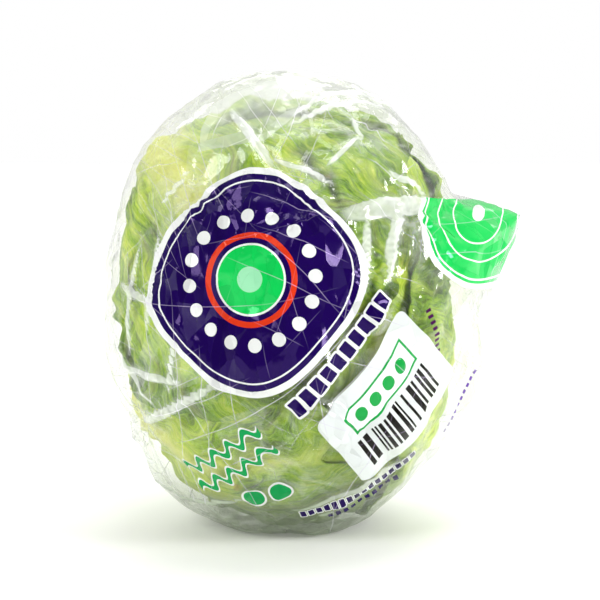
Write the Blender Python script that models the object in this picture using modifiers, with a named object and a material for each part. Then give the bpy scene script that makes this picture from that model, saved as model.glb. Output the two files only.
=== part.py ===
"""A round crisphead lettuce in a clear film wrap, lying on a counter with its cut stem turned away.

Run it with blender --background --python part.py, or from Blender's text editor.
Metres, +Z up. The origin is on the surface that the wrapped head rests on, under the middle of
the wrap's box. The side that the wrap's print is on faces -Y, and the cut stem points back,
up and to the left, where the wrap is gathered into a short tail.
"""

import math

import bmesh
import bpy
import numpy as np
from mathutils import Matrix, Vector

# The ball of leaves: half its width, depth and height, and how high its centre stands
HEAD_HALF = (0.0630, 0.0690, 0.0800)
HEAD_CENTRE = (-0.001, 0.0, 0.0785)
HEAD_FLAT_Z = 0.0012

# The way that the cut stem points, seen from the ball's centre
STEM_WAY = (-0.38, 0.82, 0.40)
STEM_RADIUS = 0.0165
STEM_OUTSIDE = 0.0010
STEM_LENGTH = 0.034
STEM_TAPER = 0.93
STEM_EDGE = 0.0012
FIT_GAP = 0.0004

# The leaves that wrap the ball, one over the other, each turned from the last by the golden angle
LEAF_COUNT = 9
GOLDEN_ANGLE = math.radians(137.5)
OUTER_RIB_THROUGH = (-0.50, -0.48, 0.72)
LEAF_CELLS_ACROSS = 16
LEAF_CELLS_ALONG = 20
LEAF_ROOT_ANGLE = math.radians(12)
OUTER_TIP_ANGLE = math.radians(158)
TIP_ANGLE_STEP = math.radians(6)
LEAF_HALF_SPREAD = math.radians(63)
LEAF_ROOT_SPREAD = 0.26
LEAF_TIP_SPREAD = 0.25
LEAF_BODY = 0.0070
LEAF_EDGE = 0.0010
LAYER_STEP = 0.0008
OUTER_LAYER_DEPTH = 0.0013
MARGIN_LIFT = 0.0023
MARGIN_WAVE = 0.0012
MARGIN_WAVES = 5
RIB_HEIGHT = 0.0042
RIB_WIDTH = 0.08
VEIN_HEIGHT = 0.0009
VEIN_SWEEP = 0.13
CORE_DEPTH = 0.0074

# The wrap: half its width, depth and height, how high its centre stands, and the film's thickness
WRAP_HALF = (0.0695, 0.0740, 0.0872)
WRAP_CENTRE = (0.0, 0.0, 0.0823)
WRAP_WALL = 0.0007
WRAP_SEGMENTS = 48
BODY_RINGS = 22
TAIL_RINGS = 7
CRUMPLE = 0.0010

# Where the film stands slack off the leaves: the way there, how far, and over what angle
SLACK_PLACES = (
    ((-0.66, -0.10, 0.75), 0.0030, math.radians(34)),
    ((0.90, -0.05, -0.42), 0.0038, math.radians(36)),
)

# The loose corner of film that stands off to the right: its tip and how it falls away
EAR_ANGLE = math.radians(22)
EAR_REACH = 0.0925
EAR_FALL_UP = math.radians(13)
EAR_FALL_DOWN = math.radians(23)
EAR_FALL_FRONT = math.radians(36)
EAR_FALL_BACK = math.radians(16)

# The gathered tail: where it starts, counted in angle from the front, its neck and its ruffled end
TAIL_FROM = math.radians(157)
NECK_RADIUS = 0.0058
NECK_LIFT = 0.0035
TAIL_RADIUS = 0.0150
TAIL_LENGTH = 0.0145
PLEATS = 8
PLEAT_DEPTH = 0.16

TABLE_HALF = 0.12


def clear_scene():
    for old in list(bpy.data.objects):
        bpy.data.objects.remove(old)


def collection_named(name):
    made = bpy.data.collections.new(name)
    bpy.context.scene.collection.children.link(made)
    return made


def material_of(name, colour, roughness, alpha=1.0):
    made = bpy.data.materials.new(name)
    made.use_nodes = True
    surface = made.node_tree.nodes["Principled BSDF"]
    surface.inputs["Base Color"].default_value = (*colour, 1.0)
    surface.inputs["Roughness"].default_value = roughness
    surface.inputs["Metallic"].default_value = 0.0
    surface.inputs["Alpha"].default_value = alpha
    return made


def unit(vector):
    vector = np.asarray(vector, float)
    return vector / np.linalg.norm(vector)


def smooth_step(value):
    value = np.clip(value, 0.0, 1.0)
    return value * value * (3.0 - 2.0 * value)


def reach_of(directions, half):
    """How far an ellipsoid of these half sizes reaches from its centre along each unit direction."""
    return 1.0 / np.linalg.norm(directions / np.array(half), axis=1)


def across(axis, through):
    """The unit direction square to axis, in the plane that holds axis and through."""
    through = np.asarray(through, float)
    return unit(through - (through @ axis) * axis)


def points_of(mesh):
    found = np.empty(len(mesh.vertices) * 3)
    mesh.vertices.foreach_get("co", found)
    return found.reshape(-1, 3)


def put_points(mesh, points):
    mesh.vertices.foreach_set("co", np.asarray(points, float).ravel())
    mesh.update()


def mesh_from(builder, name):
    """The mesh that a bmesh primitive makes when builder is called with the empty bmesh."""
    shape = bmesh.new()
    builder(shape)
    mesh = bpy.data.meshes.new(name)
    shape.to_mesh(mesh)
    shape.free()
    return mesh


def object_in(collection, name, mesh, material):
    made = bpy.data.objects.new(name, mesh)
    mesh.materials.clear()
    mesh.materials.append(material)
    collection.objects.link(made)
    return made


# The leaf ball


def leaf_points(column, row, layer):
    """One wrapping leaf, from its root by the stem over the ball and past its far side.

    row runs from the root at 0 to the tip at 1, as an arc round the ball, and column from edge to
    edge across it, from -1 to 1. layer 0 is the innermost leaf. The blade follows the ball at its
    layer's depth. Its rib stands up along the middle and fades towards the tip, every other row
    is a side vein that sweeps from the rib towards the tip, and its edges lift and wave.
    """
    stem = unit(STEM_WAY)
    outwards = LEAF_COUNT - 1 - layer
    turn = Matrix.Rotation(GOLDEN_ANGLE * outwards, 3, Vector(stem))
    rib_way = np.array(turn @ Vector(across(stem, OUTER_RIB_THROUGH)))
    side_way = np.cross(stem, rib_way)

    u = np.sign(column) * np.abs(column) ** 1.5
    v = row + VEIN_SWEEP * np.abs(u) * np.sin(math.pi * row)
    tip_angle = OUTER_TIP_ANGLE + TIP_ANGLE_STEP * outwards
    along = LEAF_ROOT_ANGLE + v * (tip_angle - LEAF_ROOT_ANGLE)
    opening = LEAF_ROOT_SPREAD + (1 - LEAF_ROOT_SPREAD) * np.sin(np.clip(v / 0.45, 0, 1) * math.pi / 2)
    rounding = np.sqrt(1 - np.clip((v - 0.6) / 0.4, 0, 1) ** 2)
    closing = LEAF_TIP_SPREAD + (1 - LEAF_TIP_SPREAD) * rounding
    tilt = u * LEAF_HALF_SPREAD * opening * closing
    on_rib = np.cos(along)[:, None] * stem + np.sin(along)[:, None] * rib_way
    ways = np.cos(tilt)[:, None] * on_rib + np.sin(tilt)[:, None] * side_way

    edge = np.maximum(np.abs(u) ** 4, smooth_step((row - 0.84) / 0.16))
    wave = np.sin(2 * math.pi * MARGIN_WAVES * v + 1.7 * layer + 2.2 * u)
    rise = edge * (MARGIN_LIFT + MARGIN_WAVE * wave)
    outer_share = ((layer + 1) / LEAF_COUNT) ** 2
    rise += RIB_HEIGHT * outer_share * np.exp(-((u / RIB_WIDTH) ** 2)) * (1 - v) ** 0.7
    rise += VEIN_HEIGHT * np.cos(math.pi * LEAF_CELLS_ALONG * row) * (1 - edge)
    sink = 0.0022 * (1 - smooth_step(v / 0.16))
    depth = OUTER_LAYER_DEPTH + LAYER_STEP * outwards
    reach = reach_of(ways, HEAD_HALF) - depth + rise - sink
    return np.array(HEAD_CENTRE) + ways * reach[:, None]


def leaf_blade(layer, collection, material):
    """A leaf as an open grid with Solidify: thin at its edges and thick where it sinks into the core."""
    mesh = mesh_from(
        lambda shape: bmesh.ops.create_grid(
            shape, x_segments=LEAF_CELLS_ACROSS, y_segments=LEAF_CELLS_ALONG, size=1.0
        ),
        f"leaf_{layer}",
    )
    flat = points_of(mesh)
    column, row = flat[:, 0], (flat[:, 1] + 1) / 2
    put_points(mesh, leaf_points(column, row, layer))
    leaf = object_in(collection, f"leaf_{layer}", mesh, material)

    body = leaf.vertex_groups.new(name="body")
    from_edge = np.minimum((1 - np.abs(column)) / 0.25, (1 - row) / 0.16)
    weights = LEAF_EDGE / LEAF_BODY + (1 - LEAF_EDGE / LEAF_BODY) * smooth_step(from_edge)
    for index, weight in enumerate(weights):
        body.add([index], float(weight), "REPLACE")
    wall = leaf.modifiers.new("blade", "SOLIDIFY")
    wall.thickness = LEAF_BODY
    wall.offset = inward_offset(mesh)
    wall.vertex_group = body.name
    return leaf


def inward_offset(mesh):
    """Solidify's offset that grows the wall towards the ball's centre, whichever way the faces point."""
    face = mesh.polygons[len(mesh.polygons) // 2]
    outward = Vector(face.center) - Vector(HEAD_CENTRE)
    return -1.0 if face.normal.dot(outward) > 0 else 1.0


def head_core(collection, material):
    mesh = mesh_from(
        lambda shape: bmesh.ops.create_uvsphere(shape, u_segments=32, v_segments=20, radius=1.0),
        "core",
    )
    ways = points_of(mesh)
    ways /= np.linalg.norm(ways, axis=1)[:, None]
    reach = reach_of(ways, HEAD_HALF) - CORE_DEPTH
    put_points(mesh, np.array(HEAD_CENTRE) + ways * reach[:, None])
    return object_in(collection, "core", mesh, material)


def stem_end():
    """The middle of the stem's cut face."""
    stem = unit(STEM_WAY)
    reach = reach_of(stem[None, :], HEAD_HALF)[0] + STEM_OUTSIDE
    return np.array(HEAD_CENTRE) + stem * reach


def stem_solid(name, radius, length, taper, collection, material):
    """A round bar that ends at the cut face and runs into the head for its length."""
    mesh = mesh_from(
        lambda shape: bmesh.ops.create_cone(
            shape, cap_ends=True, segments=28, radius1=radius * taper, radius2=radius, depth=length
        ),
        name,
    )
    stem = Vector(unit(STEM_WAY))
    middle = Vector(stem_end()) - stem * (length / 2)
    turn = stem.to_track_quat("Z", "Y").to_matrix().to_4x4()
    mesh.transform(Matrix.Translation(middle) @ turn)
    return object_in(collection, name, mesh, material)


def table_cutter(collection, material):
    """The block that trims the ball's underside to the flat that its own weight presses."""
    mesh = mesh_from(lambda shape: bmesh.ops.create_cube(shape, size=2 * TABLE_HALF), "press")
    mesh.transform(Matrix.Translation((0, 0, HEAD_FLAT_Z - TABLE_HALF)))
    return object_in(collection, "press", mesh, material)


def boolean(target, operation, collection=None, other=None):
    cut = target.modifiers.new(operation.lower(), "BOOLEAN")
    cut.operation = operation
    cut.solver = "EXACT"
    if collection is not None:
        cut.operand_type = "COLLECTION"
        cut.collection = collection
    else:
        cut.object = other
    return cut


def applied(made):
    """The object's evaluated mesh, with its modifiers then removed."""
    graph = bpy.context.evaluated_depsgraph_get()
    mesh = bpy.data.meshes.new_from_object(made.evaluated_get(graph))
    made.modifiers.clear()
    made.data = mesh
    return made


def keep_outer_shell(mesh):
    """Drops loose scraps and the shells of sealed hollows, which leaves one body with no cavity."""
    shape = bmesh.new()
    shape.from_mesh(mesh)
    bmesh.ops.remove_doubles(shape, verts=shape.verts, dist=1e-6)
    bmesh.ops.triangulate(shape, faces=shape.faces)
    unseen, shells = set(shape.faces), []
    while unseen:
        shell, todo = [], [unseen.pop()]
        while todo:
            face = todo.pop()
            shell.append(face)
            for near in {f for edge in face.edges for f in edge.link_faces} & unseen:
                unseen.discard(near)
                todo.append(near)
        shells.append(shell)
    largest = max(shells, key=len)
    dropped = [face for shell in shells if shell is not largest for face in shell]
    bmesh.ops.delete(shape, geom=dropped, context="FACES")
    shape.to_mesh(mesh)
    shape.free()


def lettuce_head(collection, material):
    """The leaves joined to their core, with a plain hole for the stem and a pressed flat under it."""
    leaves = collection_named("leaves to join")
    for layer in range(LEAF_COUNT):
        leaf_blade(layer, leaves, material)
    head = head_core(collection, material)
    head.name = "lettuce_head"
    boolean(head, "UNION", collection=leaves)
    cutters = collection_named("cutters")
    hole = stem_solid(
        "stem_hole", STEM_RADIUS + FIT_GAP, 2 * STEM_LENGTH + 2 * FIT_GAP, 1.0, cutters, material
    )
    hole.location = Vector(unit(STEM_WAY)) * STEM_LENGTH
    boolean(head, "DIFFERENCE", other=hole)
    boolean(head, "DIFFERENCE", other=table_cutter(cutters, material))
    applied(head)
    keep_outer_shell(head.data)
    for helpers in (leaves, cutters):
        for helper in list(helpers.objects):
            bpy.data.objects.remove(helper)
        bpy.data.collections.remove(helpers)
    head.data.shade_smooth()
    head.data.set_sharp_from_angle(angle=math.radians(32))
    return head


def cut_stem(collection, material):
    """The pale stump that every leaf grows from, cut square when the head was picked."""
    stem = stem_solid("cut_stem", STEM_RADIUS, STEM_LENGTH, STEM_TAPER, collection, material)
    edge = stem.modifiers.new("worn edge", "BEVEL")
    edge.width = STEM_EDGE
    edge.segments = 2
    edge.limit_method = "ANGLE"
    stem.data.shade_smooth()
    stem.data.set_sharp_from_angle(angle=math.radians(32))
    return stem


# The film wrap


def ear_rise(ways, plain):
    """How far the loose corner stands beyond the plain wrap.

    It rises to its tip at EAR_ANGLE in the plane that faces the viewer, and falls away to nothing
    over its own angle in each of the four ways from there.
    """
    in_plane = np.arctan2(ways[:, 2], ways[:, 0]) - EAR_ANGLE
    off_plane = np.arcsin(np.clip(-ways[:, 1], -1, 1))
    fall = np.where(in_plane > 0, in_plane / EAR_FALL_UP, -in_plane / EAR_FALL_DOWN)
    lean = np.where(off_plane > 0, off_plane / EAR_FALL_FRONT, -off_plane / EAR_FALL_BACK)
    share = np.clip(1 - fall, 0, 1) * np.clip(1 - lean, 0, 1)
    return (EAR_REACH - plain) * share


def crumple(ways):
    """Broad flat facets with creases between them: folded waves that cross at three angles."""
    total = np.zeros(len(ways))
    for way, count, phase in (
        ((0.8, 0.3, 0.5), 3.1, 0.10),
        ((-0.4, 0.7, 0.6), 2.6, 0.45),
        ((0.5, 0.6, -0.6), 3.7, 0.80),
    ):
        turns = ways @ unit(way) * count + phase
        total += np.abs(turns - np.floor(turns) - 0.5) * 4 - 1
    return CRUMPLE * total / 3


def slack(ways):
    total = np.zeros(len(ways))
    for way, rise, spread in SLACK_PLACES:
        away = np.arccos(np.clip(ways @ unit(way), -1, 1))
        total += rise * (1 - smooth_step(away / spread))
    return total


def wrap_reach(ways):
    plain = reach_of(ways, WRAP_HALF) + slack(ways)
    return plain + ear_rise(ways, plain) + crumple(ways)


def wrap_points(ring, turn):
    """The wrap's outer face. ring counts from 0 at the front to the end of the gathered tail.

    Up to BODY_RINGS it is the wrap itself. From there the film draws in to a neck over the cut
    stem and opens into a pleated ruffle. Turn 0 runs through the loose corner's tip.
    """
    stem = unit(STEM_WAY)
    first = across(stem, (math.cos(EAR_ANGLE), 0, math.sin(EAR_ANGLE)))
    second = np.cross(stem, first)
    round_ways = np.cos(turn)[:, None] * first + np.sin(turn)[:, None] * second

    angle = np.minimum(ring / BODY_RINGS, 1) * TAIL_FROM
    ways = np.sin(angle)[:, None] * round_ways - np.cos(angle)[:, None] * stem
    reach = wrap_reach(ways)
    body = ways * reach[:, None]

    q = np.clip((ring - BODY_RINGS) / TAIL_RINGS, 0, 1)
    crown = reach_of(stem[None, :], WRAP_HALF)[0]
    start_out = reach * math.sin(TAIL_FROM)
    start_up = -reach * math.cos(TAIL_FROM)
    to_neck = smooth_step(q / 0.55)
    to_end = smooth_step((q - 0.55) / 0.45)
    out = start_out + (NECK_RADIUS - start_out) * to_neck + (TAIL_RADIUS - NECK_RADIUS) * to_end
    rise = start_up + (crown + NECK_LIFT - start_up) * np.clip(q / 0.55, 0, 1)
    rise += (TAIL_LENGTH - NECK_LIFT) * np.clip((q - 0.55) / 0.45, 0, 1)
    out *= 1 + PLEAT_DEPTH * np.sin(PLEATS * turn) * smooth_step(q / 0.3)
    tail = round_ways * out[:, None] + rise[:, None] * stem
    points = np.array(WRAP_CENTRE) + np.where((q > 0)[:, None], tail, body)
    points[:, 2] = np.maximum(points[:, 2], 0.0)
    return points


def film_wrap(collection, material):
    """The film as one open skin. Its mouth is the hole down the middle of the gathered tail."""
    rings = BODY_RINGS + TAIL_RINGS + 1
    shape = bmesh.new()
    bmesh.ops.create_uvsphere(shape, u_segments=WRAP_SEGMENTS, v_segments=rings, radius=1.0)
    mouth = [v for v in shape.verts if v.co.z < -1 + 1e-6]
    bmesh.ops.delete(shape, geom=mouth, context="VERTS")
    mesh = bpy.data.meshes.new("film_wrap")
    shape.to_mesh(mesh)
    ball = points_of(mesh)
    ring = np.arccos(np.clip(ball[:, 2], -1, 1)) / math.pi * rings
    turn = np.arctan2(ball[:, 1], ball[:, 0])
    for vertex, point in zip(shape.verts, wrap_points(ring, turn)):
        vertex.co = point
    bmesh.ops.recalc_face_normals(shape, faces=shape.faces)
    shape.to_mesh(mesh)
    shape.free()
    film = object_in(collection, "film_wrap", mesh, material)
    wall = film.modifiers.new("film", "SOLIDIFY")
    wall.thickness = WRAP_WALL
    wall.offset = -1.0
    mesh.shade_smooth()
    mesh.set_sharp_from_angle(angle=math.radians(25))
    return film


def centre_on_origin(made, film):
    """Moves every part so that the middle of the wrap's box stands over the origin."""
    points = points_of(film.data)
    middle = (points.min(axis=0) + points.max(axis=0)) / 2
    shift = Matrix.Translation((-middle[0], -middle[1], 0.0))
    for part in made:
        part.data.transform(shift)
        part.data.update()
    return -middle


def main():
    clear_scene()
    parts = collection_named("wrapped lettuce head")
    leaf = material_of("lettuce leaf", (0.42, 0.60, 0.13), 0.45)
    stump = material_of("lettuce stem", (0.78, 0.74, 0.50), 0.60)
    film = material_of("clear film", (0.93, 0.96, 0.93), 0.12, alpha=0.3)
    head = lettuce_head(parts, leaf)
    stem = cut_stem(parts, stump)
    wrap = film_wrap(parts, film)
    shift = centre_on_origin((head, stem, wrap), wrap)
    print("moved by", [round(float(x), 5) for x in shift[:2]])


main()
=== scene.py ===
# %% [markdown]
# # A wrapped crisphead lettuce
#
# The object is a round lettuce in a loose clear film. Its leaves grow from a stump that was cut
# square, curl round one another and overlap, and the film is drawn round them and gathered
# behind the stump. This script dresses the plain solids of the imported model, in metres, with
# +Z up and the printed side towards -Y. Every piece is a surface worked out with numpy: a
# function of two numbers on a grid. The leaves come first, from the inside out, then the film
# over them.

import math

import bmesh
import bpy
import numpy as np
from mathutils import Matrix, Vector


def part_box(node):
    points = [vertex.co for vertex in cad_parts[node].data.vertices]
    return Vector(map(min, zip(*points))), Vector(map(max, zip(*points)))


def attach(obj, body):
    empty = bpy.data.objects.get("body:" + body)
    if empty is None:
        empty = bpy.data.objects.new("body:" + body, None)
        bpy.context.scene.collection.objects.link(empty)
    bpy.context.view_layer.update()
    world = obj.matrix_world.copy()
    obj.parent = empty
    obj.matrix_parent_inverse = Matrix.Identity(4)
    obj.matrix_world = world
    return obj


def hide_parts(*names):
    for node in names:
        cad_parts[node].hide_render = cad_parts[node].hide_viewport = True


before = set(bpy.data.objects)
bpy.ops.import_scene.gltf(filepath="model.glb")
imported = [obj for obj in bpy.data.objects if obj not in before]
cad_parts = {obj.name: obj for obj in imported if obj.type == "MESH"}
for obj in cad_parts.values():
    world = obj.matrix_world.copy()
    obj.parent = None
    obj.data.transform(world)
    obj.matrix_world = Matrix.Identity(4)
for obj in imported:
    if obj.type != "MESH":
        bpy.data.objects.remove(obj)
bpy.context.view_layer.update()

# %% [markdown]
# ## The driving sizes
#
# The ball of leaves and the wrap are both close to ellipsoids, and the solids were made from
# the same numbers. A leaf or the film is placed by how far it reaches from the centre along
# each direction. All leaves grow from the stump, so its direction is the axis that they turn on.

# %% Sizes in metres, and the way that the cut stem points
CENTRE_SHIFT = np.array((-0.00802, -0.00488, 0.0))
HEAD_HALF = np.array((0.0630, 0.0690, 0.0800))
HEAD_CENTRE = np.array((-0.001, 0.0, 0.0785)) + CENTRE_SHIFT
WRAP_HALF = np.array((0.0695, 0.0740, 0.0872))
WRAP_CENTRE = np.array((0.0, 0.0, 0.0823)) + CENTRE_SHIFT
STEM_WAY = np.array((-0.38, 0.82, 0.40))
STEM_WAY /= np.linalg.norm(STEM_WAY)
STEM_RADIUS = 0.0165
LEAF_REST_Z = 0.0013


def unit(vector):
    """The direction of each vector: the vector over its length."""
    vector = np.asarray(vector, float)
    return vector / np.linalg.norm(vector, axis=-1, keepdims=True)


def smooth_step(value):
    """0 below 0, 1 above 1, and 3t^2 - 2t^3 in between."""
    value = np.clip(value, 0.0, 1.0)
    return value * value * (3.0 - 2.0 * value)


def reach_of(ways, half):
    """How far an ellipsoid reaches along each unit direction: one over the length of way / half."""
    return 1.0 / np.linalg.norm(ways / half, axis=-1)


def across(axis, through):
    """The unit direction square to axis, in the plane that holds axis and through."""
    through = np.asarray(through, float)
    return unit(through - (through @ axis) * axis)


def ripples(points, size, seed):
    """Smooth noise from -1 to 1: the mean of plane waves about `size` long in random directions."""
    draw = np.random.default_rng(seed)
    ways = unit(draw.normal(size=(14, 3))) * draw.uniform(0.7, 1.5, (14, 1)) * 2 * math.pi / size
    phases = draw.uniform(0, 2 * math.pi, 14)
    total = sum(np.sin(points @ way + phase) for way, phase in zip(ways, phases))
    return total / math.sqrt(14) * 0.9


print("stem way", STEM_WAY.round(3))

# %% [markdown]
# ## Meshes from grids
#
# A surface is a grid of points. `mesh_object` turns an array of rows and columns of points into
# a mesh in one go, with `foreach_set`, and stores any number that the material needs later as an
# attribute on the points, such as how pale the leaf is there.


# %% A mesh from a grid of points
def grid_faces(rows, columns):
    """Quads between the points of a grid, counted row by row."""
    corner = (np.arange(rows - 1)[:, None] * columns + np.arange(columns - 1)[None, :]).ravel()
    return np.stack([corner, corner + 1, corner + columns + 1, corner + columns], axis=1)


def turned_faces(rows, columns):
    """Quads of a grid whose last column meets its first."""
    corner = grid_faces(rows, columns + 1)
    return (corner // (columns + 1)) * columns + (corner % (columns + 1)) % columns


def mesh_object(name, points, faces, attributes=None):
    """An object from an array of points and one of quads, which are used as they are given."""
    mesh = bpy.data.meshes.new(name)
    mesh.vertices.add(len(points))
    mesh.vertices.foreach_set("co", points.astype(np.float32).ravel())
    mesh.loops.add(faces.size)
    mesh.loops.foreach_set("vertex_index", faces.astype(np.int32).ravel())
    mesh.polygons.add(len(faces))
    mesh.polygons.foreach_set("loop_start", np.arange(0, faces.size, 4, dtype=np.int32))
    mesh.update(calc_edges=True)
    for key, values in (attributes or {}).items():
        kind, field = ("FLOAT", "value") if values.ndim == 1 else ("FLOAT_VECTOR", "vector")
        layer = mesh.attributes.new(key, kind, "POINT")
        layer.data.foreach_set(field, values.astype(np.float32).ravel())
    mesh.shade_smooth()
    made = bpy.data.objects.new(name, mesh)
    bpy.context.scene.collection.objects.link(made)
    return made


def close_poles(made):
    """Merges the points that fall together at the two ends of a turned grid."""
    closed = bmesh.new()
    closed.from_mesh(made.data)
    bmesh.ops.remove_doubles(closed, verts=closed.verts, dist=1e-6)
    closed.to_mesh(made.data)
    closed.free()


def outward(points, faces, centre):
    """The faces, turned round if most of them look towards the centre."""
    a, b, c = (points[faces[:, k]] for k in range(3))
    looks = np.einsum("ij,ij->i", np.cross(b - a, c - a), a - centre)
    return faces if np.median(looks) > 0 else faces[:, ::-1]


print("a 3 x 3 grid has", len(grid_faces(3, 3)), "faces")

# %% [markdown]
# ## A map of how far the leaves reach
#
# Each leaf lies on the ones inside it, and the film lies on the outermost. To drape one surface
# over another, the script keeps a map of the furthest reach in every direction. The whole ball
# of directions is unfolded onto a square, as an octahedron is, with the front in the middle and
# the folds at the back.


# %% The reach map
class ReachMap:
    """The furthest reach so far in each direction, on an octahedron unfolded to a square."""

    def __init__(self, centre, cells):
        self.centre = centre
        self.cells = cells
        self.reach = np.zeros((cells, cells))

    def place(self, ways):
        """Where on the square each direction falls, in cells."""
        flat = ways / np.abs(ways).sum(axis=-1, keepdims=True)
        x, z = flat[..., 0], flat[..., 2]
        folded_x = (1 - np.abs(z)) * np.where(x < 0, -1, 1)
        folded_z = (1 - np.abs(x)) * np.where(z < 0, -1, 1)
        behind = flat[..., 1] > 0
        both = np.stack([np.where(behind, folded_x, x), np.where(behind, folded_z, z)])
        return (both + 1) / 2 * (self.cells - 1)

    def add(self, points):
        """Raises the map to these points where they stand further out."""
        offset = points - self.centre
        far = np.linalg.norm(offset, axis=-1)
        column, row = np.rint(self.place(offset / far[:, None])).astype(int)
        np.maximum.at(self.reach, (column, row), far)

    def settled(self, passes=2):
        """The map with its empty cells filled, each cell raised to its neighbours, then blurred."""
        full = self.reach.copy()
        for blend in (np.max, np.mean):
            for _ in range(passes):
                ring = np.pad(full, 1, mode="edge")
                near = [ring[i : i + self.cells, j : j + self.cells]
                        for i in range(3) for j in range(3)]
                full = blend(near, axis=0)
        return full

    def read(self, ways, full):
        """The settled map along each direction, blended between the four nearest cells."""
        column, row = np.clip(self.place(ways), 0, self.cells - 1.001)
        c, r = column.astype(int), row.astype(int)
        s, t = column - c, row - r
        low = full[c, r] * (1 - s) + full[c + 1, r] * s
        high = full[c, r + 1] * (1 - s) + full[c + 1, r + 1] * s
        return low * (1 - t) + high * t


leaf_map = ReachMap(HEAD_CENTRE, 170)
print("the map holds", leaf_map.cells**2, "directions")

# %% [markdown]
# ## The camera
#
# The photograph was taken from close to the height of the head, looking slightly down, with a
# long lens. The camera comes first because leaf edges, folds and prints are placed by where they
# fall in the picture: a pixel is carried from the picture onto the ball or onto the film.

# %% The camera and where a point falls in the picture
PICTURE_SIDE = 600
METRES_PER_PIXEL = 0.3736e-3
CAMERA_TILT = math.radians(10)
CAMERA_DISTANCE = 1.25
AIM = np.array((-0.0043, -0.005, 0.0842))
SENSOR = 36.0

CAMERA_RIGHT = np.array((1.0, 0.0, 0.0))
CAMERA_UP = np.array((0.0, math.sin(CAMERA_TILT), math.cos(CAMERA_TILT)))
TO_CAMERA = np.cross(CAMERA_RIGHT, CAMERA_UP)

camera_data = bpy.data.cameras.new("camera")
camera_data.sensor_width = SENSOR
camera_data.lens = SENSOR * CAMERA_DISTANCE / (PICTURE_SIDE * METRES_PER_PIXEL)
camera = bpy.data.objects.new("camera", camera_data)
camera.location = AIM + TO_CAMERA * CAMERA_DISTANCE
camera.rotation_euler = (math.pi / 2 - CAMERA_TILT, 0.0, 0.0)
bpy.context.scene.collection.objects.link(camera)
bpy.context.scene.camera = camera


def in_picture(points):
    """Where points fall in the picture, in pixels from its top left corner, and how near they are."""
    offset = points - AIM
    near = offset @ TO_CAMERA
    shrink = CAMERA_DISTANCE / (CAMERA_DISTANCE - near) / METRES_PER_PIXEL
    column = PICTURE_SIDE / 2 + offset @ CAMERA_RIGHT * shrink
    row = PICTURE_SIDE / 2 - offset @ CAMERA_UP * shrink
    return column, row, near


def head_way(pixel):
    """The direction from the head's centre to the point of its ball that a pixel shows."""
    right, up = pixel[0] - PICTURE_SIDE / 2, PICTURE_SIDE / 2 - pixel[1]
    start = (AIM + (right * CAMERA_RIGHT + up * CAMERA_UP) * METRES_PER_PIXEL - HEAD_CENTRE) / HEAD_HALF
    ray = TO_CAMERA / HEAD_HALF
    square, half_linear, rest = ray @ ray, start @ ray, start @ start - 1
    nearest = (-half_linear + math.sqrt(max(half_linear**2 - square * rest, 0))) / square
    return unit((start + nearest * ray) * HEAD_HALF)


print("lens", round(camera_data.lens, 1), "mm")

# %% [markdown]
# ## The leaves
#
# A crisphead leaf is a broad round blade that wraps the ball. From its thick pale root a fan of
# veins spreads and keeps dividing, so a leaf looks streaked all the way round. Its blade
# puckers between the veins and its edge is thin, frilled and lifted. It could be sculpted or
# simulated, but a formula keeps every vein at its true size: `u` runs from edge to edge, `v` from
# the root to the tip, and heights are added for the rib, the veins, the puckers and the edge.

# %% Leaf sizes
LEAF_COUNT = 9
GOLDEN_ANGLE = math.radians(137.5)
OUTER_RIB_THROUGH = (-0.50, -0.48, 0.72)
LEAF_ROOT_ANGLE = math.radians(12)
OUTER_TIP_ANGLE = math.radians(158)
TIP_ANGLE_STEP = math.radians(6)
LEAF_HALF_SPREAD = math.radians(63)
LEAF_ROOT_SPREAD = 0.26
LEAF_TIP_SPREAD = 0.25
LEAF_THICKNESS = 0.0006
LEAF_GAP = 0.0009
OUTER_LAYER_DEPTH = 0.0015
LAYER_STEP = 0.0011
RIB_HEIGHT = 0.0034
VEIN_ANGLE = math.radians(7.5)
VEIN_HEIGHT = 0.0009
STREAK_WIDTH = 0.0010
STREAK_LENGTH = 0.019
PUCKER_HEIGHTS = (0.0011, 0.0005)
SWELL_HEIGHT = 0.0014
EDGE_LIFT, EDGE_WAVE, EDGE_FRILL = 0.0017, 0.0009, 0.0008
ROOT_DIP = 0.0022
GLOW_WIDTH = 0.014
BALL_RADIUS = 0.072
OUTER_LEAVES = 4
OUTER_LEAF_GRID, INNER_LEAF_GRID, HEART_GRID = (240, 180), (150, 110), (120, 200)
print("leaves to grow", LEAF_COUNT, "veins", round(math.degrees(VEIN_ANGLE), 1), "degrees apart")

# %% The ball that the leaves make up
# Where the ball is fuller than an ellipsoid: the way, how much it rises and how far that spreads
HEAD_SHOULDERS = (
    ((-0.66, -0.15, 0.74), 0.0080, math.radians(40)),
    ((0.68, -0.10, 0.72), 0.0066, math.radians(40)),
    ((0.66, -0.20, -0.72), 0.0045, math.radians(36)),
)


def swells(ways, places):
    """The rise in each direction: at each place full in its middle, and gone at its spread."""
    total = np.zeros(len(ways))
    for way, rise, spread in places:
        away = np.arccos(np.clip(ways @ unit(way), -1, 1))
        total += rise * (1 - smooth_step(away / spread))
    return total


def head_reach(ways):
    """How far the ball of leaves reaches: its ellipsoid and its shoulders."""
    return reach_of(ways, HEAD_HALF) + swells(ways, HEAD_SHOULDERS)


FRONT_WAY = unit([(0.0, -1.0, 0.0)])
print("the ball reaches", (head_reach(FRONT_WAY) * 1000).round(1), "mm to the front")


# %% The relief of a blade
def ridge(turns, width):
    """A row of narrow ridges, one at each whole number of turns."""
    away = np.abs(turns - np.round(turns))
    return np.exp(-((away / width) ** 2))


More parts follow.
